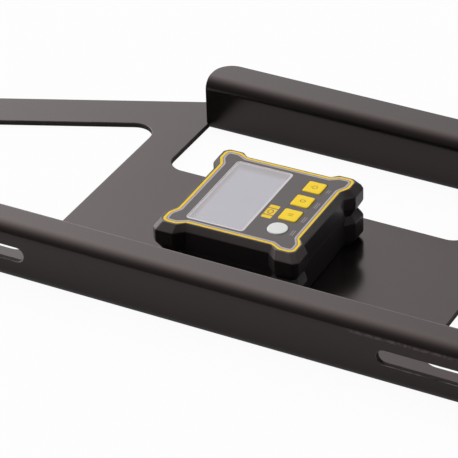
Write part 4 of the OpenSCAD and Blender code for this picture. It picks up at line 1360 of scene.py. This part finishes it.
def thumbNut(n):
    # drawn from its flange, which faces the wall, back to its closed end
    long, soft, low, high = n["long"], n["soft"], n["gripFrom"] + n["drumIn"], n["gripTo"] - n["drumIn"]
    body = turned([(0, long - n["end"]), (n["bore"], long - n["end"]), (n["bore"], 0), (n["radius"], 0),
                   (n["radius"], n["flange"]), (n["core"], n["flange"]), (n["core"], low), (n["drum"], low),
                   (n["drum"], high), (n["core"], high), (n["core"], long), (0, long)],
                  [0, 0, 0.3, soft, soft, 0.3, 0.1, 0.1, 0.1, 0.1, 0.6, 0])
    grips = grown(ribs, {"Copies": n["ribs"]}, ribShape(n))
    start = Matrix.Translation((0, 0, n["from"]))
    return together(moved(body, start @ Matrix.Rotation(math.pi, 4, "X")), moved(grips, start))


ribs, rod = ringTree(), threadTree()
lyingDown = Matrix.Rotation(math.radians(90), 4, "X")
for side, sign in (("left", -1), ("right", 1)):
    onPeg = Matrix.Translation((sign * pegs["x"], sheet["frontFace"], sheet["slotHeight"])) @ lyingDown
    carriage = side + "_carriage"
    newPiece(side + "TurnedPeg", turnedPeg(pegs), carriage, [side + "_peg"], aluminium,
             onPeg)
    newPiece(side + "NylonTip", nylonTip(pegs), carriage, [side + "_rim_tip"], nylon, onPeg)
    for name, body in (("front", carriage), ("back", side + "_clamp")):
        newPiece(side + name.capitalize() + "Washer", flatWasher(pegs, pegs["washerFrom"][name]), body,
                 [side + "_" + name + "_washer"], zinc, onPeg)
    newPiece(side + "ThreadedStud", threadedStud(pegs), carriage, [side + "_peg_stud"], zinc,
             onPeg, crease=70)
    newPiece(side + "ThumbNut", thumbNut(nut), side + "_nut", [side + "_thumb_nut"], anodised,
             onPeg)
print("pegs, studs and thumb nuts made")

wound, row = coilTree(), rowTree()


def cellShape(c, sign):
    # its flat end has a shallow dish, and its other end a ring round the cap
    low, top, ring = -c["half"], c["half"] - c["capHeight"], c["half"] - c["capHeight"] - c["ringDeep"]
    cell = turned([(0, low + c["dishDeep"]), (c["dish"][0], low + c["dishDeep"]), (c["dish"][1], low),
                   (c["radius"], low), (c["radius"], top), (c["ring"][0], top), (c["ring"][1], ring),
                   (c["cap"], ring), (c["cap"], c["half"]), (0, c["half"])],
                  [0, 0.1, 0.1, 0.55, 0.6, 0.1, 0.1, 0.15, 0.5, 0])
    return moved(cell, Matrix.Translation((sign * c["across"], 0, c["up"])) @ lyingDown)


def springShape(c, sign):
    spring = grown(wound, {"Turns": c["springTurns"], "Start radius": c["springFoot"],
                           "End radius": c["springTip"], "Height": c["springLong"],
                           "Wire radius": c["springWire"]})
    start = (sign * c["across"], c["springAt"] - c["springWire"], c["up"])
    return moved(spring, Matrix.Translation(start) @ lyingDown)


newPiece("batteryCells", together(*[cellShape(cells, sign) for sign in (-1, 1)]), "level_box", ["batteries"],
         jacket, onBox)
newPiece("batterySprings", together(*[springShape(cells, sign) for sign in (-1, 1)]), "level_box",
         ["battery_springs"], zinc, onBox)

buzzer = {"x": 15.9, "y": -13.78, "radius": 4.5, "tall": 4.0, "hole": 0.8, "ring": (2.3, 2.4, 2.8, 2.9),
          "ringDeep": 0.2}
magnets = {"x": 20.4, "y": 17.6, "radius": 4, "low": 0.1, "high": 2.3, "edge": 0.3}
bothWays = [(sx, sy) for sx in (-1, 1) for sy in (-1, 1)]


def buzzerCan(b):
    # hangs under the board, with a sound hole and a ring round it
    top, low = boardParts["under"], boardParts["under"] - b["tall"]
    ring, dip = b["ring"], boardParts["under"] - b["tall"] + b["ringDeep"]
    can = turned([(0, top - b["tall"] / 2), (b["hole"], top - b["tall"] / 2), (b["hole"], low),
                  (ring[0], low), (ring[1], dip), (ring[2], dip), (ring[3], low), (b["radius"], low),
                  (b["radius"], top), (0, top)], [0, 0, 0.15, 0.05, 0.05, 0.05, 0.05, 0.4, 0.1, 0])
    return moved(can, Matrix.Translation((b["x"], b["y"], 0)))


def magnetDisc(m, sx, sy):
    disc = turned([(0, m["low"]), (m["radius"], m["low"]), (m["radius"], m["high"]), (0, m["high"])],
                  [0, m["edge"], m["edge"], 0])
    return moved(disc, Matrix.Translation((sx * m["x"], sy * m["y"], 0)))


newPiece("buzzerCan", buzzerCan(buzzer), "level_box", ["buzzer"], buzzerBlack, onBox)
newPiece("backMagnets", together(*[magnetDisc(magnets, sx, sy) for sx, sy in bothWays]), "level_box",
         ["back_magnets"], nickel, onBox)

# a leg's upper and lower heights under the board, its reach at each step, and half its width
chipLeg = {"top": (0.85, 0.72), "foot": (0.14, 0.01), "outer": (0.45, 0.6, 1.0), "inner": (0.48, 0.34),
           "sunk": 0.1, "half": 0.15, "edge": 0.02}


def legShape(reach, under, leg):
    # steps out of the package and down on to the board
    high, low = [under - height for height in leg["top"]], [under - height for height in leg["foot"]]
    outer, inner = [reach + out for out in leg["outer"]], [reach + out for out in leg["inner"]]
    start = reach - leg["sunk"]
    foot = rounded([(start, high[0]), (outer[0], high[0]), (outer[1], low[0]), (outer[2], low[0]),
                    (outer[2], low[1]), (inner[0], low[1]), (inner[1], high[1]), (start, high[1])], 0, 1)
    upright = Matrix(((0, 0, 1, 0), (1, 0, 0, 0), (0, 1, 0, 0), (0, 0, 0, 1)))
    return moved(flatSolid(foot, [], -leg["half"], leg["half"], leg["edge"], steps=1), upright)


def chipLegs(b):
    legs = []
    for (cx, cy, w, l), count, pitch in zip(b["chips"], b["legs"], b["legPitch"]):
        sides = [(0, l / 2), (180, l / 2)] + ([(90, w / 2), (270, w / 2)] if w > b["fourSided"] else [])
        for turn, reach in sides:
            line = grown(row, {"Copies": count, "Pitch": pitch}, legShape(reach, b["under"], chipLeg))
            spot = Matrix.Translation((cx, cy, 0)) @ Matrix.Rotation(math.radians(turn), 4, "Z")
            legs.append(moved(line, spot))
    return together(*legs)


def freeSpots(b):
    # a grid of points on the board, clear of the chips and of what else is kept free
    free = bmesh.new()
    margin, reach = b["chipMargin"], b["reach"]
    taken = [(cx, cy, w + margin, l + margin) for cx, cy, w, l in b["chips"]] + b["kept"]
    steps = [-reach + i * b["pitch"] for i in range(int(2 * reach / b["pitch"]) + 1)]
    for x in steps:
        for y in steps:
            clear = all(abs(x - cx) > w / 2 or abs(y - cy) > l / 2 for cx, cy, w, l in taken)
            if clear and abs(x) + abs(y) < 2 * reach - b["cornerFree"]:
                free.verts.new((x, y, b["under"] - b["partDown"]))
    return free


newPiece("chipLegs", chipLegs(boardParts), "level_box", [], zinc, onBox)
scattered = grown(smallPartsTree(), {"Length": boardParts["partLength"], "Seed": boardParts["seed"]},
                  freeSpots(boardParts))
print("board dressed with", len(scattered.faces) // chipPart["faces"], "small parts")
newPiece("boardSmallParts", scattered, "level_box", [], partsFinish, onBox)

shellScrew = {"at": 25.1, "shank": 1.07, "pitch": 0.9, "from": 9.0, "to": 18.6, "ridge": 0.16,
              "headFrom": 2.0, "headTop": 1.6, "headRound": 0.35, "headSteps": 3}
boardScrew = {"at": 24.3, "shank": 0.78, "pitch": 0.6, "from": 19.6, "to": 22.7, "ridge": 0.1,
              "headFrom": 1.4, "headRound": 0.2, "headSteps": 2}


def threadRidge(x, y, screw):
    long = screw["to"] - screw["from"]
    shape = grown(wound, {"Turns": long / screw["pitch"], "Start radius": screw["shank"],
                          "End radius": screw["shank"], "Height": long, "Wire radius": screw["ridge"]})
    return moved(shape, Matrix.Translation((x, y, screw["from"])))


def shellHeadRim(middle):
    p, at = offBox @ middle, shellScrew["at"]
    return math.hypot(abs(p.x) - at, abs(p.y) - at) > shellScrew["headFrom"] and p.z < shellScrew["headTop"]


def boardHeadRim(middle):
    p = offBox @ middle
    return math.hypot(abs(p.x) - boardScrew["at"], p.y) > boardScrew["headFrom"]


def screwShape(nodeName, rim, screw, spots):
    # the solid's own screws with rounded heads, and a thread round each shank
    shanks = moved(softCopy(nodeName, [(rim, screw["headRound"], screw["headSteps"])]), offBox)
    return together(shanks, *[threadRidge(sx * screw["at"], sy * screw["at"], screw) for sx, sy in spots])


newPiece("shellScrews", screwShape("shell_screws", shellHeadRim, shellScrew, bothWays), "level_box",
         ["shell_screws"], zinc, onBox)
newPiece("boardScrews", screwShape("board_screws", boardHeadRim, boardScrew, [(-1, 0), (1, 0)]), "level_box",
         ["board_screws"], zinc, onBox)

# flat mouldings and pressings keep the solid's shape, with their sharp edges taken off
softened = {"battery_door": ("batteryDoor", "door", 0.14, case, "case_black"),
            "board_chips": ("chipPackages", "level_box", 0.1, chips, "chip_black"),
            "tilt_sensor": ("sensorCan", "level_box", 0.2, canSteel, "sensor_metal"),
            "key_switches": ("keySwitches", "level_box", 0.12, switches, "chip_black"),
            "battery_contacts": ("cellContacts", "level_box", 0.1, brass, "contact_brass"),
            "display_frame": ("displayFrame", "level_box", 0.12, whiteFrame, "frame_white")}
for nodeName, (pieceName, body, edge, finish, slotName) in softened.items():
    shape = softCopy(nodeName, [(lambda middle: True, edge, 2)])
    newPiece(pieceName, shape, body, [nodeName], finish, crease=35)
for nodeName, finish in (("circuit_board", board), ("display_diffuser", diffuser)):
    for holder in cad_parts[nodeName].material_slots:
        holder.material = finish
print("electronics, cells and screws made")
